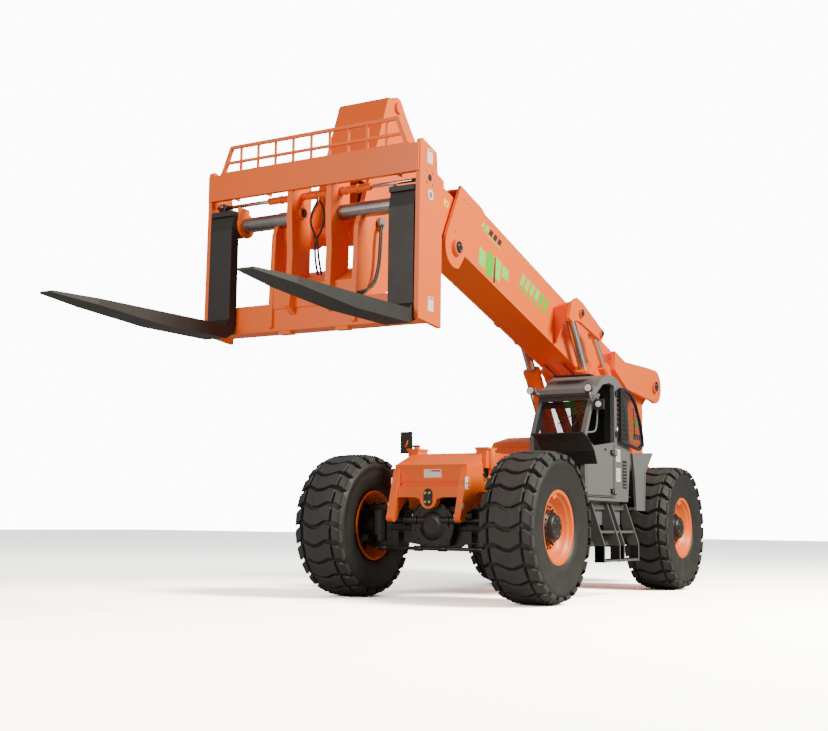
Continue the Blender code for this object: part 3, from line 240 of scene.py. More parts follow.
# %% Paint, rubber, steel, glass and labels
ORANGE = finish("orange_gloss_paint", (0.90, 0.126, 0.0006), (0.88, 0.156, 0.004), 0.36, coat=0.05, dust=0.02)
GREY = finish("grey_cab_paint", (0.118, 0.121, 0.130), (0.145, 0.148, 0.158), 0.36, dust=0.03)
STEP_GREY = finish("grey_step_paint", (0.075, 0.077, 0.080), (0.10, 0.10, 0.105), 0.45, dust=0.15)
BLACK = finish("black_axle_paint", (0.005, 0.005, 0.006), (0.014, 0.014, 0.015), 0.34, scale=5.0, dust=0.05)
GUARD = finish("black_guard_plastic", (0.010, 0.010, 0.011), (0.020, 0.020, 0.022), 0.42, scale=4.0)
FORGED = finish("forged_black_steel", (0.008, 0.008, 0.009), (0.022, 0.022, 0.024), 0.46, scale=6.0,
                grain=160.0, bump=0.10)
TREAD = finish("tread_rubber", (0.028, 0.029, 0.031), (0.050, 0.051, 0.054), 0.60, scale=9.0, grain=220.0,
               bump=0.12, dust=0.05)
WALL = finish("sidewall_rubber", (0.007, 0.007, 0.008), (0.014, 0.014, 0.015), 0.46, scale=6.0, grain=180.0,
              bump=0.06, dust=0.10)
CHROME = finish("hard_chrome", (0.62, 0.62, 0.64), (0.45, 0.45, 0.47), 0.16, scale=8.0, bump=0.0, metallic=1.0)
SHAFT_STEEL = finish("worn_shaft_steel", (0.42, 0.42, 0.43), (0.12, 0.12, 0.125), 0.24, amount=0.9, scale=5.0,
                     metallic=0.9)
BRASS = finish("yellow_zinc_bolt", (0.55, 0.42, 0.18), (0.40, 0.30, 0.12), 0.30, scale=20.0, metallic=0.8)
STEEL = finish("bare_steel", (0.36, 0.36, 0.37), (0.25, 0.25, 0.26), 0.35, scale=9.0, metallic=0.9)
HOSE = finish("hose_rubber", (0.008, 0.008, 0.009), (0.016, 0.016, 0.017), 0.42, scale=12.0, grain=300.0,
              bump=0.08)
TRIM = finish("cab_lining", (0.012, 0.012, 0.014), (0.020, 0.020, 0.022), 0.62, scale=7.0, grain=240.0,
              bump=0.15)
RAIL_BROWN = finish("greased_rail", (0.16, 0.09, 0.035), (0.05, 0.03, 0.015), 0.35, scale=14.0, metallic=0.4)
WHITE = plain("white_label", (0.78, 0.78, 0.77), 0.45)
YELLOW = plain("yellow_label", (0.72, 0.70, 0.05), 0.45)
RED = plain("red_label_stripe", (0.55, 0.04, 0.02), 0.45)
GREEN = plain("green_decal", (0.03, 0.55, 0.01), 0.40)
PALE_GREEN = plain("pale_green_decal", (0.16, 0.72, 0.10), 0.40)
DARK_DECAL = plain("dark_decal", (0.03, 0.02, 0.02), 0.45)
LAMP = plain("lamp_lens", (0.75, 0.77, 0.78), 0.12, glow=0.25)
MIRROR_FACE = plain("mirror_face", (0.70, 0.71, 0.72), 0.03, metallic=1.0)
GLASS = plain("tinted_glass", (0.012, 0.014, 0.015), 0.03, alpha=0.42)
print("finishes", len(bpy.data.materials))

# %% Finishes of the frame's own nodes
SLOT_FINISH = {
    "orange_paint": ORANGE, "grey_paint": GREY, "black_paint": BLACK, "tyre_rubber": TREAD,
    "rod_chrome": CHROME,
    "forged_steel": FORGED, "tinted_glass": GLASS, "cab_trim": TRIM,
}
NODE_FINISH = {
    # The front left mudguard takes the near-black GUARD finish as painted shade: its black stands for the shade
    # on its concave underside, seen from below.
    "cab_steps": STEP_GREY, "front_left_mudguard": GUARD, "left_fork_shaft": SHAFT_STEEL,
    "right_fork_shaft": SHAFT_STEEL, "cab_upper_door": GUARD,
    "front_mirror": GUARD, "engine_bay": BLACK,
}
slots = {part["node"]: part["material_slot"] for part in frame["record"]["subparts"]}
for name, node in frame["nodes"].items():
    look = NODE_FINISH.get(name, SLOT_FINISH[slots[name]])
    node.data.materials.clear()
    node.data.materials.append(look)
print("frame nodes painted", len(frame["nodes"]))

# %% [markdown]
# ## Piece builder
# Most dressing on such a machine is small steelwork: caps, clips, labels, hoses and welded strips. Modelling each
# by hand would hide what they share. A Piece collects boxes, rods, sleeves, plates and tubes in one mesh, gives
# each its finish, softens the edges with a Bevel modifier and rides on one body of the frame.

# %% Builder of dressing pieces
class Piece:
    """Collects simple closed shapes into one mesh that rides on one body of the frame."""

    def __init__(self, name, body, *looks):
        self.name, self.body, self.looks = name, body, looks
        self.bm = bmesh.new()
        self.painted = set()

    def paint_new(self, look, smooth):
        """Give the faces made since the last call their finish and shading. New faces don't always come last."""
        made = [face for face in self.bm.faces if face not in self.painted]
        self.painted.update(made)
        for face in made:
            face.material_index, face.smooth = self.looks.index(look), smooth
        return made

    def box(self, low, high, look, slope=None):
        """A box between two corners of the machine's axes. slope(x, y, z) may move its corners."""
        corners = []
        for x in (low[0], high[0]):
            for y in (low[1], high[1]):
                for z in (low[2], high[2]):
                    corners.append(self.bm.verts.new(at(*(slope(x, y, z) if slope else (x, y, z)))))
        for a, b, c, d in ((0, 1, 3, 2), (4, 6, 7, 5), (0, 4, 5, 1), (2, 3, 7, 6), (0, 2, 6, 4), (1, 5, 7, 3)):
            self.bm.faces.new((corners[a], corners[b], corners[c], corners[d]))
        self.paint_new(look, False)

    def rod(self, start, end, radius, look, sides=16, end_radius=None, points_given=False):
        """A round rod or cone between two points of the machine's axes."""
        a, b = (start, end) if points_given else (at(*start), at(*end))
        turn = (b - a).to_track_quat("Z", "Y").to_matrix().to_4x4()
        bmesh.ops.create_cone(
            self.bm, cap_ends=True, segments=sides, radius1=radius,
            radius2=radius if end_radius is None else end_radius,
            depth=(b - a).length, matrix=Matrix.Translation((a + b) / 2) @ turn,
        )
        for face in self.paint_new(look, True):
            face.smooth = len(face.verts) == 4

    def sleeve(self, start, end, radius, bore, look, sides=20, points_given=False):
        """A round sleeve with an open bore between two points of the machine's axes."""
        a, b = (start, end) if points_given else (at(*start), at(*end))
        turn = (b - a).to_track_quat("Z", "Y")
        loops = [
            [self.bm.verts.new(place + turn @ Vector((r * cos(2 * pi * k / sides), r * sin(2 * pi * k / sides),
                                                      0)))
             for k in range(sides)] for place, r in ((a, bore), (a, radius), (b, radius), (b, bore))
        ]
        for here, there in zip(loops, loops[1:] + loops[:1]):
            for k in range(sides):
                j = (k + 1) % sides
                self.bm.faces.new((here[k], there[k], there[j], here[j]))
        bmesh.ops.recalc_face_normals(self.bm, faces=self.paint_new(look, False))

    def plate(self, corners, thickness, look, smooth=False):
        """A flat plate: corners in order round its face as frame points, and its thickness as a vector."""
        front = [self.bm.verts.new(p) for p in corners]
        back = [self.bm.verts.new(p + thickness) for p in corners]
        self.bm.faces.new(front)
        self.bm.faces.new(back[::-1])
        for i in range(len(front)):
            j = (i + 1) % len(front)
            self.bm.faces.new((front[j], front[i], back[i], back[j]))
        bmesh.ops.recalc_face_normals(self.bm, faces=self.paint_new(look, smooth))

    def tube(self, points, radius, look, sides=10, points_given=False, steps=6):
        """A hose along a smooth path through points of the machine's axes."""
        knots = [Vector(p) if points_given else at(*p) for p in points]
        path = smooth_path(knots, steps)
        rings, normal = [], None
        for i, point in enumerate(path):
            ahead = (path[min(i + 1, len(path) - 1)] - path[max(i - 1, 0)]).normalized()
            if normal is None:
                normal = ahead.orthogonal().normalized()
            normal = (normal - ahead * normal.dot(ahead)).normalized()
            across = ahead.cross(normal)
            rings.append([
                self.bm.verts.new(
                    point + (normal * cos(2 * pi * k / sides) + across * sin(2 * pi * k / sides)) * radius
                )
                for k in range(sides)
            ])
        for here, there in zip(rings, rings[1:]):
            for k in range(sides):
                j = (k + 1) % sides
                self.bm.faces.new((here[k], here[j], there[j], there[k]))
        self.bm.faces.new(rings[0][::-1])
        self.bm.faces.new(rings[-1])
        self.paint_new(look, True)

    def place(self, bevel=0.0, extra=None):
        """Turn the collected shapes into an object on its body."""
        mesh = bpy.data.meshes.new(self.name)
        self.bm.to_mesh(mesh)
        self.bm.free()
        if extra is not None:
            mesh.transform(extra)
        for look in self.looks:
            mesh.materials.append(look)
        piece = bpy.data.objects.new(self.name, mesh)
        bpy.context.scene.collection.objects.link(piece)
        if bevel:
            edge = piece.modifiers.new("soft_edges", "BEVEL")
            edge.width, edge.segments, edge.limit_method, edge.angle_limit = bevel, 2, "ANGLE", radians(50)
        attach(piece, self.body)
        return piece


def smooth_path(knots, steps):
    """Points along a smooth curve through the knots."""
    if len(knots) < 3:
        return knots
    path = []
    for i in range(len(knots) - 1):
        p0, p1, p2, p3 = knots[max(i - 1, 0)], knots[i], knots[i + 1], knots[min(i + 2, len(knots) - 1)]
        for k in range(steps):
            t = k / steps
            path.append(0.5 * (
                2 * p1 + (p2 - p0) * t + (2 * p0 - 5 * p1 + 4 * p2 - p3) * t * t
                + (3 * p1 - p0 - 3 * p2 + p3) * t ** 3
            ))
    path.append(knots[-1])
    return path


def arc(centre, radius, start, stop, steps):
    """Points on a circle, angles in degrees."""
    return [
        (centre[0] + radius * cos(radians(start + (stop - start) * k / steps)),
         centre[1] + radius * sin(radians(start + (stop - start) * k / steps))) for k in range(steps + 1)
    ]


print("builder of dressing pieces")

# %% [markdown]
# ## Rings and rows of copies
# Wheel bolts, tread lugs, vent slots and step slats repeat by a rule: round an axle, or along a row. Copying them
# in a loop works too, but a Geometry Nodes tree states the rule once, with the count as a named input. One tree
# turns its copies about the X direction, the other steps them along a vector. Both end in Realize Instances and
# Set Material, and the evaluated result is kept as a plain mesh.

# %% Trees that repeat a piece
def repeating_tree(name, ring):
    """A tree that repeats its input mesh: turned about X when ring is true, or stepped along a vector."""
    tree = bpy.data.node_groups.new(name, "GeometryNodeTree")
    tree.interface.new_socket("Geometry", in_out="INPUT", socket_type="NodeSocketGeometry")
    tree.interface.new_socket("Count", in_out="INPUT", socket_type="NodeSocketInt")
    if not ring:
        tree.interface.new_socket("Step", in_out="INPUT", socket_type="NodeSocketVector")
    tree.interface.new_socket("Finish", in_out="INPUT", socket_type="NodeSocketMaterial")
    tree.interface.new_socket("Geometry", in_out="OUTPUT", socket_type="NodeSocketGeometry")
    nodes, links = tree.nodes, tree.links
    given, out = nodes.new("NodeGroupInput"), nodes.new("NodeGroupOutput")
    points = nodes.new("GeometryNodePoints")
    copies = nodes.new("GeometryNodeInstanceOnPoints")
    index = nodes.new("GeometryNodeInputIndex")
    real = nodes.new("GeometryNodeRealizeInstances")
    coat = nodes.new("GeometryNodeSetMaterial")
    links.new(given.outputs["Count"], points.inputs["Count"])
    if ring:
        turn = nodes.new("ShaderNodeMath")
        turn.operation = "DIVIDE"
        full = nodes.new("ShaderNodeMath")
        full.operation = "MULTIPLY"
        full.inputs[1].default_value = 2 * pi
        angles = nodes.new("ShaderNodeCombineXYZ")
        links.new(index.outputs[0], turn.inputs[0])
        links.new(given.outputs["Count"], turn.inputs[1])
        links.new(turn.outputs[0], full.inputs[0])
        links.new(full.outputs[0], angles.inputs["X"])
        links.new(angles.outputs[0], copies.inputs["Rotation"])
    else:
        away = nodes.new("ShaderNodeVectorMath")
        away.operation = "SCALE"
        links.new(given.outputs["Step"], away.inputs[0])
        links.new(index.outputs[0], away.inputs["Scale"])
        links.new(away.outputs[0], points.inputs["Position"])
    links.new(points.outputs[0], copies.inputs["Points"])
    links.new(given.outputs["Geometry"], copies.inputs["Instance"])
    links.new(copies.outputs[0], real.inputs[0])
    links.new(real.outputs[0], coat.inputs["Geometry"])
    links.new(given.outputs["Finish"], coat.inputs["Material"])
    links.new(coat.outputs[0], out.inputs[0])
    return tree


RING = repeating_tree("ring_of_copies", True)
ROW = repeating_tree("row_of_copies", False)


def repeated(mesh, tree, **values):
    """The mesh that a repeating tree makes from one piece."""
    source = bpy.data.objects.new("one_copy", mesh)
    bpy.context.scene.collection.objects.link(source)
    modifier = source.modifiers.new("repeat", "NODES")
    modifier.node_group = tree
    for item in tree.interface.items_tree:
        if item.in_out == "INPUT" and item.name in values:
            modifier[item.identifier] = values[item.name]
    bpy.context.view_layer.update()
    evaluated = source.evaluated_get(bpy.context.evaluated_depsgraph_get())
    result = bpy.data.meshes.new_from_object(evaluated)
    bpy.data.objects.remove(source)
    return result


def bolt_mesh(radius, height, sides=6, washer=1.35):
    """A bolt head on its washer, standing along +X from the origin."""
    bm = bmesh.new()
    for r, low, high, count in ((radius * washer, 0.0, height * 0.25, 16),
                                (radius, height * 0.2, height, sides)):
        bmesh.ops.create_cone(
            bm, cap_ends=True, segments=count, radius1=r, radius2=r * 0.94, depth=high - low,
            matrix=Matrix.Translation(((low + high) / 2, 0, 0)) @ Matrix.Rotation(pi / 2, 4, "Y"),
        )
    mesh = bpy.data.meshes.new("bolt")
    bm.to_mesh(mesh)
    bm.free()
    return mesh


def moved(mesh, matrix):
    """A mesh after a move."""
    mesh.transform(matrix)
    if matrix.determinant() < 0:
        mesh.flip_normals()
    return mesh


def joined(name, body, meshes):
    """One object on a body from several meshes, each with its own finishes."""
    bm = bmesh.new()
    looks = []
    for mesh in meshes:
        start = len(bm.faces)
        kept = [looks.append(m) or len(looks) - 1 if m not in looks else looks.index(m) for m in mesh.materials]
        bm.from_mesh(mesh)
        bm.faces.ensure_lookup_table()
        for face in bm.faces[start:]:
            face.material_index = kept[min(face.material_index, len(kept) - 1)] if kept else 0
    result = bpy.data.meshes.new(name)
    bm.to_mesh(result)
    bm.free()
    for look in looks:
        result.materials.append(look)
    piece = bpy.data.objects.new(name, result)
    bpy.context.scene.collection.objects.link(piece)
    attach(piece, body)
    return piece


def bolt_ring(count, ring_radius, radius, height, look, centre, side=1, sides=6, start=0.0):
    """A ring of bolts about the X direction through a frame point."""
    one = moved(bolt_mesh(radius, height, sides),
                Matrix.Rotation(start, 4, "X") @ Matrix.Translation((0, 0, ring_radius)))
    mesh = repeated(one, RING, Count=count, Finish=look)
    return moved(mesh, Matrix.Translation(centre) @ Matrix.Scale(side, 4, (1, 0, 0)))


print("trees that repeat a piece")

# %% [markdown]
# ## Wheels
# An earthmover tyre is a thick carcass with deep lugs that cross the crown in a wave and end in shoulder blocks.
# The carcass is a turned profile with moulded rings on its wall. One row of lugs is drawn on the curve of the
# crown and repeated round it, so the pitch always closes. The rim is a second turned profile: a deep dish with a
# gutter and a lock ring, around a black planetary hub with its bolts.

# %% Tyre carcass and tread
LUG_COUNT = 24
GROOVE_DEPTH = 0.042
WAVE = [(-0.300, -0.030), (-0.205, 0.016), (-0.110, 0.026), (-0.010, -0.024), (0.060, -0.028), (0.160, 0.022),
        (0.225, 0.010), (0.300, -0.045)]
LUG_SPANS = ((-0.298, -0.196, 0.074), (-0.182, 0.178, 0.083), (0.192, 0.298, 0.074))


def wave_at(across):
    """Height of the lug's wavy centre line at a distance across the tread."""
    for (a, low), (b, high) in zip(WAVE, WAVE[1:]):
        if across <= b:
            return low + (high - low) * (across - a) / (b - a)
    return WAVE[-1][1]


def tread_radius(across):
    """Outer radius of the tread, falling away at the shoulders."""
    return TYRE_RADIUS - 0.048 * (abs(across) / TYRE_HALF) ** 4


def turned_mesh(name, profile, look, sides=72, smooth=True):
    """A profile of (x, radius) points turned about the X direction."""
    bm = bmesh.new()
    rings = [[bm.verts.new((x, r * sin(2 * pi * k / sides), r * cos(2 * pi * k / sides))) for x, r in profile]
             for k in range(sides)]
    for k in range(sides):
        here, there = rings[k], rings[(k + 1) % sides]
        for i in range(len(profile) - 1):
            bm.faces.new((here[i], here[i + 1], there[i + 1], there[i])).smooth = smooth
    bmesh.ops.remove_doubles(bm, verts=bm.verts, dist=1e-6)
    bmesh.ops.recalc_face_normals(bm, faces=bm.faces)
    mesh = bpy.data.meshes.new(name)
    bm.to_mesh(mesh)
    bm.free()
    mesh.materials.append(look)
    return mesh


def carcass_mesh():
    """The tyre under its lugs: shoulders, bulged walls with moulded rings, and beads on the rim."""
    floor = TYRE_RADIUS - GROOVE_DEPTH
    half_profile = [
        (0.0, floor), (TYRE_HALF * 0.60, floor - 0.002), (TYRE_HALF * 0.86, floor - 0.022),
        (TYRE_HALF * 0.930, floor - 0.052),
        (TYRE_HALF * 0.945, 0.700), (TYRE_HALF * 0.965, 0.690), (TYRE_HALF * 0.985, 0.650),
        (TYRE_HALF * 0.975, 0.645),
        (TYRE_HALF * 0.990, 0.600), (TYRE_HALF * 0.985, 0.540), (TYRE_HALF * 0.950, 0.490),
        (TYRE_HALF * 0.955, 0.484),
        (TYRE_HALF * 0.915, 0.440), (TYRE_HALF * 0.880, 0.418), (TYRE_HALF * 0.86, 0.404),
        (TYRE_HALF * 0.80, 0.392),
    ]
    profile = [(-x, r) for x, r in reversed(half_profile)] + half_profile[1:]
    return turned_mesh("tyre_carcass", profile, WALL, 96)


def lug_row_mesh():
    """One row of the tread: a wavy centre lug and two shoulder blocks that wrap onto the wall."""
    bm = bmesh.new()
    base = TYRE_RADIUS - GROOVE_DEPTH - 0.012

    def point(across, along, radius):
        angle = along / TYRE_RADIUS
        return bm.verts.new((across, radius * sin(angle), radius * cos(angle)))

    for low, high, half in LUG_SPANS:
        stations = sorted({low, high, *[a for a, _ in WAVE if low < a < high]})
        rows = []
        for across in stations:
            mid, top = wave_at(across), tread_radius(across)
            edge = 0.012 if across in (low, high) else 0.0
            inward = edge if across == low else -edge
            rows.append([
                point(across, mid - half - 0.006, base),
                point(across + inward * 0.6, mid - half + edge * 0.5, top - 0.005),
                point(across + inward, mid - half + 0.008 + edge * 0.4, top),
                point(across + inward, mid + half - 0.008 - edge * 0.4, top),
                point(across + inward * 0.6, mid + half - edge * 0.5, top - 0.005),
                point(across, mid + half + 0.006, base),
            ])
        for here, there in zip(rows, rows[1:]):
            for i in range(5):
                bm.faces.new((here[i], here[i + 1], there[i + 1], there[i]))
        bm.faces.new(rows[0][::-1])
        bm.faces.new(rows[-1])
        for side in ((-1,) if high < 0 else (1,) if low > 0 else ()):
            mid, wrap = wave_at(side * 0.300), []
            for across, radius, width in ((0.2930, 0.770, 0.070), (0.2985, 0.748, 0.066),
                                          (0.2990, 0.722, 0.060)):
                wrap.append([
                    point(side * across, mid - width, radius), point(side * across, mid + width, radius),
                    point(side * (across - 0.03), mid + width, radius - 0.004),
                    point(side * (across - 0.03), mid - width, radius - 0.004),
                ])
            for here, there in zip(wrap, wrap[1:]):
                for i in range(4):
                    bm.faces.new((here[i], here[(i + 1) % 4], there[(i + 1) % 4], there[i]))
            bm.faces.new(wrap[0][::-1])
            bm.faces.new(wrap[-1])
    bmesh.ops.recalc_face_normals(bm, faces=bm.faces)
    mesh = bpy.data.meshes.new("lug_row")
    bm.to_mesh(mesh)
    bm.free()
    return mesh


print("tyre carcass and tread")

# %% Rims and hubs
RIM_FACE = 0.247
HUB_FACE = 0.232


def rim_mesh_parts(side):
    """Orange dish with its flange, gutter and lock ring, then the black hub with its cap and bolts."""
    dish = [
        (-RIM_FACE - 0.02, RIM_RADIUS - 0.004), (-RIM_FACE - 0.02, RIM_RADIUS - 0.045),
        (0.02, RIM_RADIUS - 0.050),
        (0.022, 0.17), (0.118, 0.17), (0.112, 0.262), (0.125, 0.292), (0.190, 0.318), (0.208, 0.332),
        (0.214, 0.352), (0.238, 0.356), (RIM_FACE - 0.004, 0.362), (RIM_FACE, 0.372), (RIM_FACE, 0.380),
        (RIM_FACE - 0.005, 0.384), (RIM_FACE, 0.388), (RIM_FACE, RIM_RADIUS - 0.004),
        (RIM_FACE - 0.012, RIM_RADIUS),
        (RIM_FACE - 0.035, RIM_RADIUS - 0.012),
    ]
    hub = [
        (0.02, 0.183), (0.150, 0.183), (0.160, 0.176), (0.162, 0.150), (0.180, 0.142),
        (HUB_FACE - 0.012, 0.136),
        (HUB_FACE - 0.002, 0.118), (HUB_FACE - 0.002, 0.060), (HUB_FACE, 0.055), (HUB_FACE, 0.0),
    ]
    flip = Matrix.Scale(side, 4, (1, 0, 0))
    # The inner disc is black from 0.20 to 0.345 out. It is partly the hub's black planetary carrier and partly a
    # dark sheet added as painted shade, for the deep shade inside the wheel.
    inner = [(-0.03, 0.20), (-0.03, 0.30), (-0.010, 0.34), (0.015, 0.345)]
    meshes = [
        moved(turned_mesh("dish", dish, ORANGE), flip), moved(turned_mesh("hub", hub, BLACK, 48), flip),
        moved(turned_mesh("carrier_and_shade_disc", inner, BLACK, 48), flip),
        bolt_ring(12, 0.165, 0.011, 0.012, BLACK, Vector((0.161 * side, 0, 0)), side),
        bolt_ring(6, 0.088, 0.008, 0.008, STEEL, Vector(((HUB_FACE - 0.003) * side, 0, 0)), side),
        bolt_ring(20, 0.222, 0.013, 0.016, BLACK, Vector((0.112 * side, 0, 0)), side),
        bolt_ring(20, 0.245, 0.012, 0.020, BLACK, Vector((-0.028 * side, 0, 0)), -side),
    ]
    return meshes


TREAD_RING = repeated(lug_row_mesh(), RING, Count=LUG_COUNT, Finish=TREAD)
CARCASS = carcass_mesh()
for end in ("front", "rear"):
    for hand, side in SIDES:
        wheel = f"{end}_{hand}_wheel"
        centre = Matrix.Translation(centre_of(f"{end}_{hand}_tyre"))
        face = Matrix.Scale(side, 4, (1, 0, 0)) @ Matrix.Rotation(0.13 * side, 4, "X")
        tyre = joined(f"{wheel}_tyre_body", wheel,
                      [moved(CARCASS.copy(), centre), moved(TREAD_RING.copy(), centre @ face)])
        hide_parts(f"{end}_{hand}_tyre")
        rim = joined(f"{wheel}_rim_body", wheel, [moved(mesh, centre) for mesh in rim_mesh_parts(side)])
        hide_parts(f"{end}_{hand}_rim")
        stem = Piece(f"{wheel}_valve", wheel, STEEL, ORANGE)
        hub = centre_of(f"{end}_{hand}_tyre")
        low = hub + Vector((0.20 * side, -0.10, 0.315))
        stem.rod(low, low + Vector((0.03 * side, 0.0, -0.02)), 0.006, STEEL, 10, points_given=True)
        low = hub + Vector((0.232 * side, -0.145, 0.325))
        stem.plate([low, low + Vector((0, 0.10, 0.025)), low + Vector((0, 0.11, -0.01)),
                    low + Vector((0, 0.01, -0.035))],
                   Vector((0.012 * side, 0, 0)), ORANGE)
        stem.place(0.002)
print("tyre lugs", LUG_COUNT * len(LUG_SPANS), "in each tread")

# %% [markdown]
# ## Boom details
# The boom's sides carry large painted marks. They are left blank here: plain slanted bars in the same greens and
# browns. A texture could paint them, but a thin plate keeps a crisp edge at any distance. Pins end in black caps
# with keeper bolts, a weld bead runs along each edge, and two greased slide rails sit under the belly.

# %% Shared details
def patch(piece, side, x, points, look, thickness=0.002):
    """A thin flat patch on a side of the boom: its corners as (along, up) from the boom pivot."""
    corners = [on_boom(side * x, along, up) for along, up in points]
    piece.plate(corners, Vector((side * thickness, 0, 0)), look)


def side_patch(piece, side, x, points, look, thickness=0.002):
    """A thin flat patch on an upright side: its corners as (y, z)."""
    piece.plate([at(side * x, y, z) for y, z in points], Vector((side * thickness, 0, 0)), look)


def rectangle(low, high):
    """Corners of a rectangle between two corners."""
    return [(low[0], low[1]), (high[0], low[1]), (high[0], high[1]), (low[0], high[1])]


def slanted(start, top, bottom, width, lean):
    """Corners of a slanted bar on the boom, from its front top corner."""
    return [(start, top), (start - width, top), (start - width + lean, bottom), (start + lean, bottom)]


def pin_cap(piece, side, centre, radius, height, look):
    """A pin's end: a stepped cap on its collar with two keeper bolts, facing sideways."""
    out = Vector((side, 0, 0))
    piece.rod(centre, centre + out * height * 0.5, radius * 1.25, ORANGE, 28, points_given=True)
    piece.rod(centre, centre + out * height, radius, look, 24, radius * 0.93, True)
    for turn in (40, 160, 280):
        place = centre + Vector((0, cos(radians(turn)), sin(radians(turn)))) * radius * 0.58
        piece.rod(place, place + out * height * 1.5, radius * 0.17, STEEL, 6, points_given=True)


print("shared details")

# %% Blank decals on the boom and the tower
decals = Piece("boom_decals", "outer_boom", GREEN, PALE_GREEN, DARK_DECAL)
for _, side in SIDES:
    for k in range(5):
        look = (PALE_GREEN, PALE_GREEN, DARK_DECAL, DARK_DECAL, DARK_DECAL)[k]
        patch(decals, side, BOOM_HALF, slanted(5.37 - 0.115 * k, -0.035, -0.115, 0.080, 0.03), look)
    patch(decals, side, BOOM_HALF, rectangle((4.84, -0.150), (5.34, -0.138)), PALE_GREEN)
    for k, look in enumerate((PALE_GREEN, GREEN, PALE_GREEN, PALE_GREEN)):
        top = (-0.36, -0.31, -0.285, -0.30)[k]
        patch(decals, side, BOOM_HALF,
              slanted(5.33 - 0.20 * k, top, (-0.565, -0.60, -0.54, -0.44)[k], 0.165, -0.02), look)
    patch(decals, side, BOOM_HALF + 0.001, [(4.94, -0.30), (4.92, -0.30), (4.86, -0.60), (4.90, -0.62)],
          DARK_DECAL)
    # Of the six slanted bars, the last two, nearest the ear, are deeper green as painted shadow: the shade the
    # ear bracket casts on the boom side. The others keep the pale green.
    for k in range(6):
        patch(decals, side, BOOM_HALF, slanted(4.19 - 0.142 * k, -0.150, -0.315, 0.095, 0.06),
              GREEN if k > 3 else PALE_GREEN)
    patch(decals, side, BOOM_HALF, rectangle((3.40, -0.372), (4.26, -0.345)), GREEN)
    # Painted shadow: this piece by the ear is deeper green because it lies in the ear bracket's cast shade.
    patch(decals, side, BOOM_HALF, [(3.14, -0.235), (3.05, -0.26), (3.03, -0.36), (3.21, -0.36)], GREEN)
decals.place()

TOWER_HALF, MARKS_FRONT, MARKS_REAR = 0.33, 5.00, 5.27
tower_marks = Piece("tower_decals", "chassis", GREEN, PALE_GREEN, DARK_DECAL)
for _, side in SIDES:
    for k in range(4):
        side_patch(tower_marks, side, TOWER_HALF,
                   rectangle((MARKS_FRONT + 0.078 * k, 2.285), (5.055 + 0.078 * k, 2.345)), GREEN)
    side_patch(tower_marks, side, TOWER_HALF, rectangle((MARKS_FRONT, 2.262), (MARKS_REAR, 2.272)), GREEN)
    for k in range(5):
        look = GREEN if k < 1 else DARK_DECAL
        side_patch(tower_marks, side, TOWER_HALF,
                   rectangle((MARKS_FRONT + 0.075 * k, 2.075), (5.055 + 0.075 * k, 2.16)), look)
    side_patch(tower_marks, side, TOWER_HALF, rectangle((MARKS_FRONT, 2.045), (MARKS_REAR, 2.055)), GREEN)
tower_marks.place()
print("decals on the boom and tower")

# %% Boom pins, bolts and belly rails
pins = Piece("boom_pin_caps", "outer_boom", ORANGE, BLACK, STEEL, RAIL_BROWN)
FRONT_PIN, REAR_PIN = (3.038, -0.185), (2.333, -0.166)
for _, side in SIDES:
    pin_cap(pins, side, on_boom(side * 0.285, 5.870, -0.653), 0.070, 0.022, BLACK)
    pin_cap(pins, side, on_boom(side * 0.56, *FRONT_PIN), 0.050, 0.016, BLACK)
    pin_cap(pins, side, on_boom(side * 0.56, *REAR_PIN), 0.042, 0.016, BLACK)
    pin_cap(pins, side, on_boom(side * 0.49, 0.0, 0.0), 0.078, 0.016, BLACK)
    for along, up in ((5.85, -0.034), (5.765, -0.036), (5.68, -0.037), (5.925, -0.480), (5.833, -0.486),
                      (5.741, -0.492)):
        start = on_boom(side * (BOOM_HALF + 0.012), along, up)
        pins.rod(start, start + Vector((side * 0.007, 0, 0)), 0.011, STEEL, 6, points_given=True)
    weld = [on_boom(side * (BOOM_HALF + 0.001), 5.505 + 0.06 * cos(radians(a)), -0.065 + 0.06 * sin(radians(a)))
            for a in range(0, 181, 20)]
    pins.tube(weld, 0.006, ORANGE, 8, points_given=True, steps=1)
for x in (-0.135, 0.135):
    low = BOOM_BOTTOM - 0.004
    for inner, outer, thick, look in ((-0.045, 0.045, 0.012, ORANGE), (-0.020, -0.008, 0.020, RAIL_BROWN),
                                      (0.008, 0.020, 0.020, RAIL_BROWN)):
        corners = [on_boom(x + inner, 2.52, low), on_boom(x + outer, 2.52, low), on_boom(x + outer, 0.95, low),
                   on_boom(x + inner, 0.95, low)]
        pins.plate(corners, (on_boom(0, 0, -thick) - on_boom(0, 0, 0)), look)
pins.place(0.0015)

edges = Piece("boom_edge_seams", "outer_boom", ORANGE)
for _, side in SIDES:
    for up in (BOOM_TOP - 0.004, BOOM_BOTTOM + 0.004):
        edges.rod(on_boom(side * (BOOM_HALF - 0.001), 5.55, up), on_boom(side * (BOOM_HALF - 0.001), 0.35, up),
                  0.006, ORANGE, 8, points_given=True)
edges.place()
print("boom pins and seams")

# %% Inner boom: head pin, yellow label and red mark
head = Piece("inner_boom_details", "inner_boom", ORANGE, BLACK, STEEL, YELLOW, RED)
for _, side in SIDES:
    pin_cap(head, side, at(side * 0.300, -1.548, 5.082), 0.048, 0.016, BLACK)
    patch(head, side, 0.19, [(6.28, -0.185), (6.06, -0.185), (6.06, -0.255), (6.28, -0.255)], YELLOW)
    patch(head, side, 0.191, [(6.12, -0.205), (6.09, -0.205), (6.09, -0.235), (6.12, -0.235)], RED)
head.place(0.001)

# %% [markdown]
# ## Fork carriage
# Each end plate carries a port with four bolts, a pale disc and two blank labels. Hoses drop from the fork
# positioner and from the machine's left boom plate. They are tubes swept along smooth curves through a few
# points, because a hose never has a corner. Collars hold the shanks on their shafts and slide with the forks.

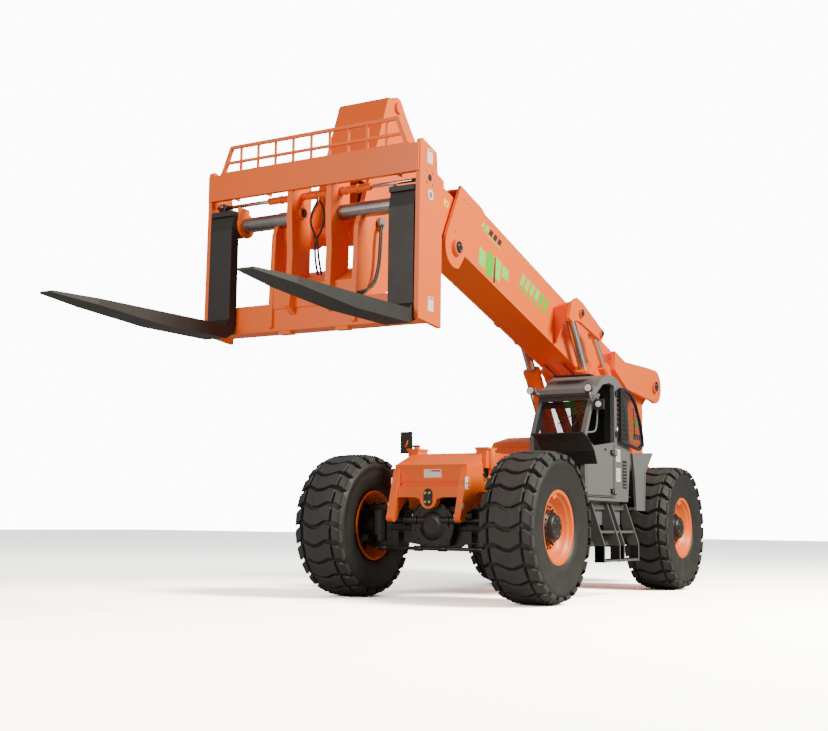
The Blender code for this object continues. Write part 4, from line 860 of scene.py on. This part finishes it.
# %% Carriage plates, labels and pins
PLATE_FACE, POSITIONER_Y, POSITIONER_Z = 1.232, -2.490, 3.985
carriage = Piece("carriage_details", "carriage", ORANGE, BLACK, STEEL, WHITE, RED, FORGED)
for _, side in SIDES:
    face = side * PLATE_FACE
    out = Vector((side, 0, 0))
    centre = at(face, POSITIONER_Y, POSITIONER_Z)
    carriage.rod(centre, centre + out * 0.003, 0.032, BLACK, 24, points_given=True)
    for dy in (-0.052, 0.052):
        for dz in (-0.052, 0.052):
            bolt = centre + Vector((0, dy, dz))
            carriage.rod(bolt, bolt + out * 0.008, 0.012, STEEL, 6, points_given=True)
    disc = at(face, -2.480, 3.825)
    carriage.rod(disc, disc + out * 0.006, 0.050, WHITE, 28, points_given=True)
    carriage.rod(disc, disc + out * 0.009, 0.030, STEEL, 20, points_given=True)
    for middle_y, middle_z in ((-2.492, 4.185), (-2.455, 2.815)):
        low, high = (middle_y - 0.050, middle_z - 0.066), (middle_y + 0.050, middle_z + 0.066)
        side_patch(carriage, side, PLATE_FACE, rectangle(low, high), WHITE)
        side_patch(carriage, side, PLATE_FACE + 0.0015,
                   rectangle((low[0] + 0.008, high[1] - 0.022), (high[0] - 0.008, high[1] - 0.010)), RED)
    low, high = sorted((side * 0.26, side * 0.40))
    carriage.box((low, -2.560, 2.630), (high, -2.47, 2.668), ORANGE)
    post_pin = at(side * 0.195, -2.500, 3.815) - out * 0.001
    carriage.rod(post_pin, post_pin - out * 0.024, 0.058, ORANGE, 24, points_given=True)
    carriage.rod(post_pin, post_pin - out * 0.034, 0.040, FORGED, 20, points_given=True)
    for start, end in ((0.012, 0.10), (0.27, 0.32), (0.44, 0.455)):
        carriage.sleeve((side * start, POSITIONER_Y, POSITIONER_Z), (side * end, POSITIONER_Y, POSITIONER_Z),
                        0.043, 0.0355, ORANGE)
carriage.rod((0.0, POSITIONER_Y, POSITIONER_Z), (0.0, -2.490, 3.925), 0.016, STEEL, 12)
for x in (-0.95, -0.55, 0.55, 0.95):
    carriage.box((x - 0.006, -2.628, 4.02), (x + 0.006, -2.52, 4.232), ORANGE)
carriage.place(0.0015)

hoses = Piece("carriage_hoses", "carriage", HOSE, STEEL)
hoses.tube([(0.0, -2.490, 3.93), (-0.055, -2.500, 3.85), (-0.085, -2.505, 3.72), (-0.045, -2.500, 3.60),
            (-0.01, -2.49, 3.50),
            (-0.005, -2.47, 3.36), (0.010, -2.44, 3.20)], 0.011, HOSE)
hoses.tube([(0.0, -2.490, 3.93), (0.045, -2.500, 3.86), (0.070, -2.505, 3.74), (0.035, -2.500, 3.62),
            (-0.03, -2.49, 3.52),
            (-0.045, -2.47, 3.36), (-0.030, -2.44, 3.20)], 0.011, HOSE)
hoses.rod((0.0, -2.490, 3.90), (0.0, -2.490, 3.945), 0.014, STEEL, 10)
for shift in (0.0, 0.026):
    hoses.tube([(0.535, -2.20 + shift, 3.70), (0.56, -2.26 + shift, 3.62), (0.565, -2.28 + shift, 3.45),
                (0.560, -2.30 + shift, 3.25),
                (0.545, -2.36 + shift, 3.08), (0.52, -2.48, 2.97 + shift), (0.515, -2.56, 2.945 + shift)],
                0.011, HOSE)
hoses.rod((0.505, -2.20, 3.70), (0.55, -2.20, 3.70), 0.055, STEEL, 18)
hoses.place()

for hand, side in SIDES:
    collar = Piece(f"{hand}_fork_collar", f"{hand}_fork", ORANGE, STEEL, FORGED, CHROME)
    inner = side * 0.911
    collar.rod((inner, -2.480, 3.775), (inner - side * 0.028, -2.480, 3.775), 0.128, ORANGE, 36)
    low, high = sorted((side * 0.905, side * 1.181))
    collar.box((low, -2.676, 3.842), (high, -2.47, 3.895), FORGED)
    low, high = sorted((side * 0.885, side * 0.911))
    collar.box((low, -2.60, 3.80), (high, -2.44, 3.944), ORANGE)
    knob = at(side * 1.155, -2.545, 3.985)
    collar.rod(knob, knob + Vector((0, -0.02, 0)), 0.018, STEEL, 12, points_given=True)
    collar.rod((side * 0.545, POSITIONER_Y, POSITIONER_Z), (side * 1.05, POSITIONER_Y, POSITIONER_Z), 0.0194,
               CHROME, 16)
    collar.place(0.004)
print("carriage details and hoses")

# %% [markdown]
# ## Nose, hood and chassis
# The nose is folded plate: it gets a raised lip, blank labels and a black plate with four brass bolts on its
# front, a port on each side and round posts behind. Flat patches are thin plates that stand a few millimetres
# proud, which avoids two faces in one place. The engine cover's vent slots come from the row tree.

# %% Nose labels, black plate, ports and post ribs
NOSE_SIDE = 0.462
nose = Piece("nose_details", "chassis", ORANGE, BLACK, BRASS, WHITE, RED, STEEL)


def nose_front(z, lift=0.0):
    """Y of the nose's sloping front face at a height."""
    return -0.25 - 0.03 * (z - 1.13) / 0.345 - lift


def nose_patch(low, high, look, lift=0.003):
    """A thin patch on the nose's front face between two (x, z) corners."""
    corners = [at(x, nose_front(z), z) for x,
               z in ((low[0], low[1]), (high[0], low[1]), (high[0], high[1]), (low[0], high[1]))]
    nose.plate(corners, Vector((0, -lift, 0)), look)


nose_patch((-0.085, 1.335), (0.135, 1.425), WHITE)
nose_patch((0.010, 1.398), (0.125, 1.415), RED, 0.005)
nose_patch((-0.385, 1.285), (0.385, 1.297), ORANGE, 0.012)
plate_y = -0.325
outline = [*arc((0.0, 1.160), 0.055, 0, 180, 8), *arc((0.0, 1.075), 0.055, 180, 360, 8)]
nose.plate([at(x, plate_y, z) for x, z in outline], Vector((0, -0.008, 0)), BLACK)
for x in (-0.026, 0.026):
    for z in (1.068, 1.165):
        nose.rod((x, plate_y - 0.006, z), (x, plate_y - 0.026, z), 0.016, BRASS, 6)
for _, side in SIDES:
    out = Vector((side, 0, 0))
    side_patch(nose, side, NOSE_SIDE, rectangle((-0.340, 1.205), (-0.245, 1.335)), WHITE)
    side_patch(nose, side, NOSE_SIDE + 0.0015, rectangle((-0.270, 1.215), (-0.250, 1.325)), RED)
    side_patch(nose, side, NOSE_SIDE + 0.0015, rectangle((-0.330, 1.262), (-0.280, 1.275)), RED)
    side_patch(nose, side, NOSE_SIDE, rectangle((-0.405, 0.990), (-0.370, 1.055)), WHITE)
    port = at(side * 0.450, 0.135, 1.391)
    nose.rod(port, port + out * 0.014, 0.078, ORANGE, 28, points_given=True)
    nose.rod(port, port + out * 0.017, 0.062, BLACK, 28, points_given=True)
    for turn in range(0, 360, 60):
        spot = port + Vector((0, cos(radians(turn)), sin(radians(turn)))) * 0.064
        nose.rod(spot, spot + out * 0.026, 0.010, BRASS, 6, points_given=True)
    low, high = sorted((side * 0.36, side * 0.515))
    nose.box((low, 0.07, 1.655), (high, 0.31, 1.680), ORANGE)
    nose.rod((side * 0.505, 0.19, 1.42), (side * 0.505, 0.19, 1.655), 0.045, ORANGE, 20)
    for y in (-0.10, 0.02):
        nose.rod((side * 0.30, y, 1.560 + y * 0.37), (side * 0.30, y, 1.572 + y * 0.37), 0.012, STEEL, 6)
    nose.rod((side * 0.4235, -0.425, 0.905), (side * 0.4235, -0.365, 0.905), 0.016, BLACK, 14)
nose.place(0.002)

mirror = Piece("nose_mirror_details", "chassis", MIRROR_FACE, GUARD, ORANGE)
mirror.box((-0.635, 0.1855, 1.645), (-0.515, 0.1875, 1.865), MIRROR_FACE)
mirror.rod((-0.575, 0.150, 1.700), (-0.545, 0.150, 1.780), 0.020, ORANGE, 12, 0.008)
mirror.place()
print("nose labels, black plate, ports and post ribs")

# %% Hood lines, engine cover slots, latches and rear lights
REAR_FACE = 5.800
hood = Piece("hood_details", "chassis", ORANGE, BLACK, STEEL, RED, LAMP)
hood.box((-0.435, 1.985, 1.640), (0.435, 2.015, 1.790), ORANGE)
for x in (-0.30, 0.30):
    hood.rod((x, 2.30, 1.905), (x, 2.30, 1.925), 0.016, STEEL, 6)
    hood.box((x - 0.05, 0.55, 1.631), (x + 0.05, 0.62, 1.640), BLACK)
hood.box((-0.30, 0.70, 1.637), (0.30, 1.70, 1.650), ORANGE)
hood.box((-0.36, REAR_FACE, 1.05), (0.36, REAR_FACE + 0.006, 1.30), BLACK)
for _, side in SIDES:
    low, high = sorted((side * 0.56, side * 0.76))
    hood.box((low, REAR_FACE, 1.18), (high, REAR_FACE + 0.022, 1.30), BLACK)
    hood.box((low + 0.010, REAR_FACE + 0.022, 1.19), (low + 0.095, REAR_FACE + 0.028, 1.29), RED)
    hood.box((low + 0.105, REAR_FACE + 0.022, 1.19), (high - 0.010, REAR_FACE + 0.028, 1.29), LAMP)
    for z in (1.02, 1.36):
        hood.rod((side * 0.66, REAR_FACE - 0.005, z), (side * 0.66, REAR_FACE + 0.012, z), 0.024, STEEL, 6)
hood.place(0.003)

slot_mesh = bpy.data.meshes.new("one_slot")
cover_slots = Piece("one_slot_source", "engine_cover", BLACK)
cover_slots.box((-1.2035, 1.42, 1.10), (-1.1990, 1.45, 1.33), BLACK)
cover_slots.bm.to_mesh(slot_mesh)
cover_slots.bm.free()
slots_mesh = repeated(slot_mesh, ROW, Count=18, Step=(0.0, 0.062, 0.0), Finish=BLACK)
joined("engine_cover_slots", "engine_cover", [slots_mesh])
cover = Piece("engine_cover_details", "engine_cover", ORANGE, BLACK, STEEL)
for y in (1.30, 2.78):
    cover.box((-1.212, y - 0.05, 1.04), (-1.199, y + 0.05, 1.10), BLACK)
    cover.rod((-1.05, y, 1.568), (-1.05, y, 1.590), 0.018, STEEL, 6)
cover.box((-1.203, 1.20, 1.355), (-1.199, 2.88, 1.372), ORANGE)
cover.place(0.002)
print("nose, hood and cover details")

# %% [markdown]
# ## Axles and cylinders
# Front and rear axle share their parts, so one loop dresses both: the tie rod with its clamps, two hoses on each
# side, the bolt circle of the differential and its cone. Kingpins get bolted caps. Each cylinder gets a band and
# a pipe with clamps, placed along the line between its two pins, so they stay on it if the pins move.

# %% Tie rods, hoses and bolts on the axles
for end, axle_y, front in (("front", 0.0, -1), ("rear", WHEELBASE, 1)):
    axle = Piece(f"{end}_axle_details", "chassis", BLACK, HOSE, STEEL)
    tie = axle_y - 0.262
    axle.rod((-0.64, tie, TYRE_RADIUS - 0.245), (0.64, tie, TYRE_RADIUS - 0.245), 0.020, BLACK, 14)
    for x in (-0.60, -0.15, 0.15, 0.60):
        axle.rod((x - 0.05, tie, TYRE_RADIUS - 0.245), (x + 0.05, tie, TYRE_RADIUS - 0.245), 0.030, BLACK, 14)
    for x in (-0.345, -0.20, 0.20, 0.345):
        axle.rod((x - 0.012, axle_y - 0.205, TYRE_RADIUS + 0.06),
                 (x + 0.012, axle_y - 0.205, TYRE_RADIUS + 0.06), 0.056, BLACK, 20)
    for side in (-1, 1):
        axle.tube([(side * 0.30, axle_y - 0.21, TYRE_RADIUS + 0.115),
                   (side * 0.26, axle_y - 0.24, TYRE_RADIUS + 0.17),
                   (side * 0.12, axle_y - 0.20, TYRE_RADIUS + 0.20),
                   (side * 0.02, axle_y - 0.10, TYRE_RADIUS + 0.27)], 0.010, HOSE)
        axle.tube([(side * 0.62, axle_y - 0.10, TYRE_RADIUS + 0.19),
                   (side * 0.50, axle_y - 0.16, TYRE_RADIUS + 0.19),
                   (side * 0.36, axle_y - 0.13, TYRE_RADIUS + 0.15),
                   (side * 0.22, axle_y - 0.10, TYRE_RADIUS + 0.24)], 0.009, HOSE)
        axle.rod((side * 0.26, axle_y - 0.205, TYRE_RADIUS + 0.10),
                 (side * 0.26, axle_y - 0.205, TYRE_RADIUS + 0.125), 0.014, STEEL, 8)
    for k in range(14):
        turn = radians(k * 360 / 14 + 12)
        spot = (0.225 * cos(turn), axle_y - 0.224, TYRE_RADIUS + 0.225 * sin(turn))
        axle.rod(spot, (spot[0], spot[1] - 0.012, spot[2]), 0.012, BLACK, 6)
    axle.rod((0, axle_y - 0.225, TYRE_RADIUS), (0, axle_y - 0.262, TYRE_RADIUS), 0.16, BLACK, 28, 0.09)
    axle.place(0.001)
print("tie rods, hoses and bolts on the axles")

# %% Knuckle bolts
for end in ("front", "rear"):
    for hand, side in SIDES:
        low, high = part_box(f"{end}_{hand}_knuckle")
        kingpin = Vector((side * (HALF_TRACK - 0.352), (low.y + high.y) / 2, 0))
        cap = Piece(f"{end}_{hand}_kingpin_cap", "chassis", BLACK, STEEL)
        for z, way in ((TYRE_RADIUS + 0.235, 1), (TYRE_RADIUS - 0.235, -1)):
            base = kingpin + Vector((0, 0, z))
            cap.rod(base, base + Vector((0, 0, way * 0.016)), 0.075, BLACK, 24, points_given=True)
            for turn in range(0, 360, 60):
                spot = base + Vector((0.055 * cos(radians(turn)), 0.055 * sin(radians(turn)), way * 0.014))
                cap.rod(spot, spot + Vector((0, 0, way * 0.010)), 0.009, BLACK, 6, points_given=True)
        cap.place()
print("knuckle bolts")

# %% Cylinder glands, ports and pipes
LIFT_BASE, LIFT_TOP = Vector((0, 4.400, 1.070)), Vector((0, 2.653, 3.557))
LEVEL_BASE, LEVEL_TOP = Vector((0, 4.750, 1.850)), Vector((0, 3.336, 3.381))
for hand, side in SIDES:
    for kind, x, base, top, radius in (("lift", 0.375, LIFT_BASE, LIFT_TOP, 0.115),
                                       ("level", 0.425, LEVEL_BASE, LEVEL_TOP, 0.072)):
        low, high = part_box(f"{hand}_{kind}_barrel")
        line = (top - base).normalized()
        reach = (high.z - base.z) / line.z
        gland = Piece(f"{hand}_{kind}_gland", f"{hand}_{kind}_barrel", ORANGE, HOSE, STEEL)
        start = at(side * x, base.y, base.z)
        collar = start + line * (0.26 if kind == "lift" else 0.20)
        gland.sleeve(collar, collar + line * 0.035, radius * 1.05, radius * 0.985, ORANGE, 32, True)
        pipe_side = Vector((0, -line.z, line.y))
        beside = pipe_side * (radius + 0.012)
        first, last = start + line * 0.34 - beside, start + line * (reach * 0.72) - beside
        gland.rod(first, last, 0.010, ORANGE, 10, points_given=True)
        for share in (0.15, 0.5, 0.85):
            clamp = first + (last - first) * share
            gland.rod(clamp - line * 0.012, clamp + line * 0.012, 0.018, STEEL, 10, points_given=True)
        gland.place()
print("axles and cylinders dressed")

# %% [markdown]
# ## Cab
# The screen has a dark sun band and two wipers. Round lamps stand on brackets at the roof's front corners, with
# a small lamp and a mirror behind the left one. Inside are a wheel, levers, pedals and cushions, kept simple
# because tinted glass hides most of them. The slats of the steps come from the row tree.

# %% Roof, sun band, lamps and mirror
cab = Piece("cab_details", "chassis", GREY, GUARD, STEEL, LAMP, WHITE, HOSE, MIRROR_FACE)
SCREEN_FOOT, SCREEN_BEND, UPPER_SLOPE = (1.065, 1.838), (1.205, 2.117), 0.62
SCREEN_SLOPE = (SCREEN_BEND[0] - SCREEN_FOOT[0]) / (SCREEN_BEND[1] - SCREEN_FOOT[1])
CAB_SIDE = 1.2495


def screen_y(z):
    """Y of the windscreen's outer face at a height."""
    if z < SCREEN_BEND[1]:
        return SCREEN_FOOT[0] + (z - SCREEN_FOOT[1]) * SCREEN_SLOPE
    return SCREEN_BEND[0] + (z - SCREEN_BEND[1]) * UPPER_SLOPE


band = [at(x, screen_y(z) + 0.030, z) for x, z in ((0.63, 2.19), (1.18, 2.19), (1.18, 2.272), (0.63, 2.272))]
cab.plate(band, Vector((0, 0.006, 0)), GUARD)
for x in (0.530, 1.260):
    cab.rod((x, 1.142, 2.405), (x, 1.175, 2.405), 0.050, GUARD, 28)
    cab.rod((x, 1.143, 2.405), (x, 1.138, 2.405), 0.040, LAMP, 28)
    cab.tube([(x, 1.19, 2.37), (x + 0.01, 1.20, 2.30), (x + 0.01, 1.25, 2.26)], 0.012, STEEL)
cab.rod((1.262, 1.31, 2.30), (1.315, 1.30, 2.27), 0.014, STEEL, 10)
cab.rod((1.315, 1.30, 2.22), (1.315, 1.30, 2.32), 0.012, STEEL, 10)
cab.rod((1.275, 1.285, 2.30), (1.275, 1.255, 2.30), 0.034, STEEL, 16)
cab.rod((1.325, 1.285, 2.325), (1.325, 1.262, 2.325), 0.026, STEEL, 16)
cab.box((1.275, 1.275, 2.165), (1.395, 1.325, 2.285), GUARD)
cab.box((1.285, 1.326, 2.175), (1.385, 1.330, 2.275), MIRROR_FACE)
cab.rod((1.335, 1.276, 2.225), (1.335, 1.266, 2.225), 0.034, LAMP, 18)
cab.box((0.60, 1.27, 2.350), (1.20, 1.278, 2.362), GUARD)
cab.box((0.66, 1.50, 2.596), (1.14, 1.62, 2.612), GUARD)
print("roof, sun band, lamps and mirror")

# %% Wipers, handrail, labels and seams
cab.rod((1.02, 1.092, 1.88), (1.12, 1.135, 2.02), 0.008, GUARD, 8)
cab.rod((0.90, 1.120, 2.00), (1.17, 1.165, 2.16), 0.006, GUARD, 8)
cab.rod((1.02, 1.092, 1.88), (1.02, 1.055, 1.86), 0.016, GUARD, 12)
handle = [(1.215, 1.345, 2.31), (1.285, 1.345, 2.275), (1.298, 1.325, 2.10), (1.298, 1.290, 1.955),
          (1.290, 1.235, 1.905), (1.235, 1.125, 1.890)]
cab.tube(handle, 0.011, GREY)
cab.box((1.12, 1.985, 1.16), (1.2515, 1.990, 2.50), GUARD)
for y, z in ((2.33, 1.45), (2.30, 1.38)):
    cab.rod((CAB_SIDE, y, z), (1.262, y, z), 0.013, GUARD, 10)
cab.box((CAB_SIDE, 2.24, 1.28), (1.2530, 2.38, 1.62), GUARD)
for k in range(8):
    cab.box((1.2530, 2.25, 1.30 + 0.039 * k), (1.2580, 2.37, 1.314 + 0.039 * k), GREY)
cab.box((0.62, 1.055, 1.845), (1.19, 1.060, 1.857), GUARD)
cab.place(0.002)
print("wipers, handrail, labels and seams")

# %% Half door: handle, latch, knob, hinge pads, labels and seal
door = Piece("cab_door_details", "cab_door", GUARD, WHITE, STEEL, GREY)
door.box((CAB_SIDE, 1.155, 1.625), (1.268, 1.255, 1.668), GUARD)
door.rod((1.268, 1.185, 1.647), (1.285, 1.185, 1.647), 0.016, GUARD, 14)
door.box((1.270, 1.180, 1.638), (1.282, 1.290, 1.656), GUARD)
door.rod((CAB_SIDE, 1.675, 1.725), (1.268, 1.675, 1.725), 0.013, GUARD, 12)
for z in (1.24, 1.70):
    door.box((CAB_SIDE, 1.845, z - 0.026), (1.274, 1.930, z + 0.026), GUARD)
    door.rod((1.274, 1.865, z), (1.282, 1.865, z), 0.014, STEEL, 10)
seal = [(1.155, 1.180), (1.930, 1.180), *arc((1.890, 1.230), 0.050, -90, 0, 4)[1:], (1.945, 1.790)]
for a, b in zip(seal, seal[1:]):
    door.rod((1.2505, *a), (1.2505, *b), 0.005, GUARD, 8)
door.place(0.002)

labels = Piece("cab_side_labels", "chassis", WHITE, DARK_DECAL)
for low, high in (((2.035, 1.600), (2.165, 1.745)), ((2.035, 1.360), (2.165, 1.520))):
    side_patch(labels, 1, 1.250, rectangle(low, high), WHITE)
    for k in range(3):
        y = low[0] + 0.018 + 0.038 * k
        side_patch(labels, 1, 1.2515, rectangle((y, low[1] + 0.02), (y + 0.008, high[1] - 0.02)), DARK_DECAL)
labels.place()
print("half door: handle, latch, knob, hinge pads, labels and seal")

# %% Upper half door: latch, wiper and edge
upper = Piece("cab_upper_door_details", "cab_upper_door", GUARD, STEEL)
upper.box((1.258, 2.115, 1.850), (1.286, 2.175, 1.900), GUARD)
upper.rod((1.286, 2.145, 1.875), (1.310, 2.145, 1.875), 0.015, GUARD, 12)
upper.box((1.258, 2.100, 2.405), (1.282, 2.150, 2.450), GUARD)
upper.rod((1.315, 2.50, 1.93), (1.315, 2.46, 2.28), 0.006, GUARD, 8)
upper.rod((1.318, 2.48, 2.00), (1.318, 2.56, 2.22), 0.004, GUARD, 8)
upper.place(0.002)
print("upper half door: latch, wiper and edge")

# %% Steps: slats, foot plates and rear fender strut
slat = Piece("one_tread_slat_source", "chassis", BLACK)
slat.box((1.165, 1.40, 0.7748), (1.295, 1.415, 0.783), BLACK)
slat_mesh = bpy.data.meshes.new("one_tread_slat")
slat.bm.to_mesh(slat_mesh)
slat.bm.free()
low_slats = slat_mesh.copy()
low_slats.transform(Matrix.Translation((0.06, 0.0, 0.4398 - 0.7748)))
rows = [repeated(mesh, ROW, Count=27, Step=(0.0, 0.040, 0.0), Finish=BLACK) for mesh in (slat_mesh, low_slats)]
joined("step_slats", "chassis", rows)
steps = Piece("step_details", "chassis", STEP_GREY, BLACK, STEEL, GREY)
for y in (1.36, 1.84, 1.98, 2.46):
    outer = 0.0305 if y in (1.36, 1.98) else -0.0005
    steps.box((1.243, y + min(outer, 0.0), 0.412), (1.358, y + max(outer, 0.030), 0.600), BLACK)
    steps.rod((1.155, y - 0.004, 1.045), (1.155, y + 0.034, 1.045), 0.012, STEEL, 6)
steps.box((1.150, 1.45, 0.60), (1.158, 2.40, 0.72), STEP_GREY)
steps.rod((1.10, 2.880, 1.060), (1.10, 2.880, 1.175), 0.045, BLACK, 20)
steps.rod((1.10, 2.880, 1.175), (1.10, 2.880, 1.205), 0.045, STEEL, 20, 0.018)
steps.place(0.002)
print("steps: slats, foot plates and rear fender strut")

# %% Cab inside: wheel rim, levers, pedals, seat cushions
inside = Piece("cab_inside", "chassis", TRIM, GUARD, STEEL, GREY, RED)
centre, radius = (0.90, 1.453, 1.799), 0.172
ring = []
for turn in range(0, 361, 20):
    away, up = radius * cos(radians(turn)), radius * sin(radians(turn))
    ring.append((centre[0] + away, centre[1] + up * 0.866, centre[2] - up * 0.5))
inside.tube(ring, 0.014, GUARD, 8, steps=1)
for x in (1.10, 1.16):
    inside.rod((x, 1.74, 1.50), (x, 1.66, 1.72), 0.009, STEEL, 8)
    inside.rod((x, 1.66, 1.71), (x, 1.652, 1.745), 0.019, GUARD, 12)
inside.box((1.08, 1.70, 1.17), (1.18, 2.10, 1.50), TRIM)
inside.box((0.66, 1.40, 1.62), (0.72, 1.46, 1.80), GUARD)
for x in (0.72, 1.06):
    inside.box((x, 1.24, 1.19), (x + 0.07, 1.30, 1.31), GUARD)
inside.box((0.700, 1.735, 1.638), (1.060, 2.08, 1.668), TRIM)
inside.box((0.72, 2.095, 2.16), (1.04, 2.245, 2.28), TRIM, slope=lambda x, y, z: (x, y + 0.10, z + 0.02))
inside.place(0.006)
print("cab dressed")

# %% Rolled lips of the front mudguard
# The lips take the same near-black as the mudguard, which is painted shade of its underside.
lip = Piece("mudguard_lip", "chassis", GUARD)
lip_path = [(0.597, 1.848), (0.764, 1.781), (0.905, 1.665), (0.990, 1.523)]
for x in (0.803, 1.427):
    lip.tube([(x, y, z) for y, z in lip_path], 0.008, GUARD, 8)
lip.place()
print("rolled lips of the front mudguard")

# %% [markdown]
# ## Floor, light and camera
# A pale studio: a white floor under a bright sky. Both are bright only to the camera, through Light Path, so
# that they do not flood the paint with bounced light. A large soft key from the machine's left warms its side,
# a weaker fill lights the front, and the camera stands low, ahead of the machine's left front wheel.

# %% Floor
floor_mesh = bpy.data.meshes.new("studio_floor")
reach = 60.0
floor_corners = [(-reach, -reach, 0), (reach, -reach, 0), (reach, reach, 0), (-reach, reach, 0)]
floor_mesh.from_pydata(floor_corners, [], [(0, 1, 2, 3)])
floor = bpy.data.objects.new("studio_floor", floor_mesh)
bpy.context.scene.collection.objects.link(floor)
FLOOR_SEEN, FLOOR_BOUNCE = (5.5, 5.5, 5.5, 1), (0.42, 0.41, 0.40, 1)
floor_look = bpy.data.materials.new("white_floor")
floor_look.use_nodes = True
nodes, links = floor_look.node_tree.nodes, floor_look.node_tree.links
path = nodes.new("ShaderNodeLightPath")
tone = nodes.new("ShaderNodeMix")
tone.data_type = "RGBA"
tone.inputs["A"].default_value, tone.inputs["B"].default_value = FLOOR_BOUNCE, FLOOR_SEEN
matt = nodes.new("ShaderNodeBsdfDiffuse")
links.new(path.outputs["Is Camera Ray"], tone.inputs["Factor"])
links.new(tone.outputs["Result"], matt.inputs["Color"])
links.new(matt.outputs["BSDF"], nodes["Material Output"].inputs["Surface"])
floor_mesh.materials.append(floor_look)
print("floor")

# %% Light
world = bpy.data.worlds.new("pale_studio")
bpy.context.scene.world = world
world.use_nodes = True
SKY_SEEN, SKY_LIGHT = 12.0, 0.36
sky = world.node_tree.nodes["Background"]
sky.inputs["Color"].default_value = (1.0, 1.0, 1.0, 1)
seen = world.node_tree.nodes.new("ShaderNodeLightPath")
power = world.node_tree.nodes.new("ShaderNodeMapRange")
power.inputs["To Min"].default_value, power.inputs["To Max"].default_value = SKY_LIGHT, SKY_SEEN
world.node_tree.links.new(seen.outputs["Is Camera Ray"], power.inputs["Value"])
world.node_tree.links.new(power.outputs["Result"], sky.inputs["Strength"])


def soft_light(name, place, target, size, power, colour=(1, 1, 1)):
    """A square area light that faces a point."""
    data = bpy.data.lights.new(name, "AREA")
    data.size, data.energy, data.color = size, power, colour
    lamp = bpy.data.objects.new(name, data)
    lamp.location = at(*place)
    lamp.rotation_euler = (at(*target) - lamp.location).to_track_quat("-Z", "Y").to_euler()
    bpy.context.scene.collection.objects.link(lamp)


soft_light("key_left", (12.0, 1.0, 10.0), (0, 1.0, 2.0), 5.0, 4500, (1.0, 0.965, 0.79))
soft_light("front_fill", (-2.0, -14.0, 6.0), (0, 0.0, 2.5), 6.0, 1050, (1.0, 0.86, 0.74))
print("light")

# %% Camera
AIM, PITCH, ROLL = radians(30.63), radians(7.17), radians(0.636)
level = Vector((-sin(AIM), cos(AIM), 0))
forward = level * cos(PITCH) + Vector((0, 0, 1)) * sin(PITCH)
right = forward.cross(Vector((0, 0, 1))).normalized()
above = right.cross(forward)
across = right * cos(ROLL) + above * sin(ROLL)
upward = above * cos(ROLL) - right * sin(ROLL)
camera_data = bpy.data.cameras.new("camera")
camera_data.lens, camera_data.sensor_width = 53.81, 36.0
camera = bpy.data.objects.new("camera", camera_data)
bpy.context.scene.collection.objects.link(camera)
turn = Matrix((across, upward, -forward)).transposed().to_4x4()
camera.matrix_world = Matrix.Translation(at(6.749, -12.055, 0.859)) @ turn
bpy.context.scene.camera = camera
print("camera")
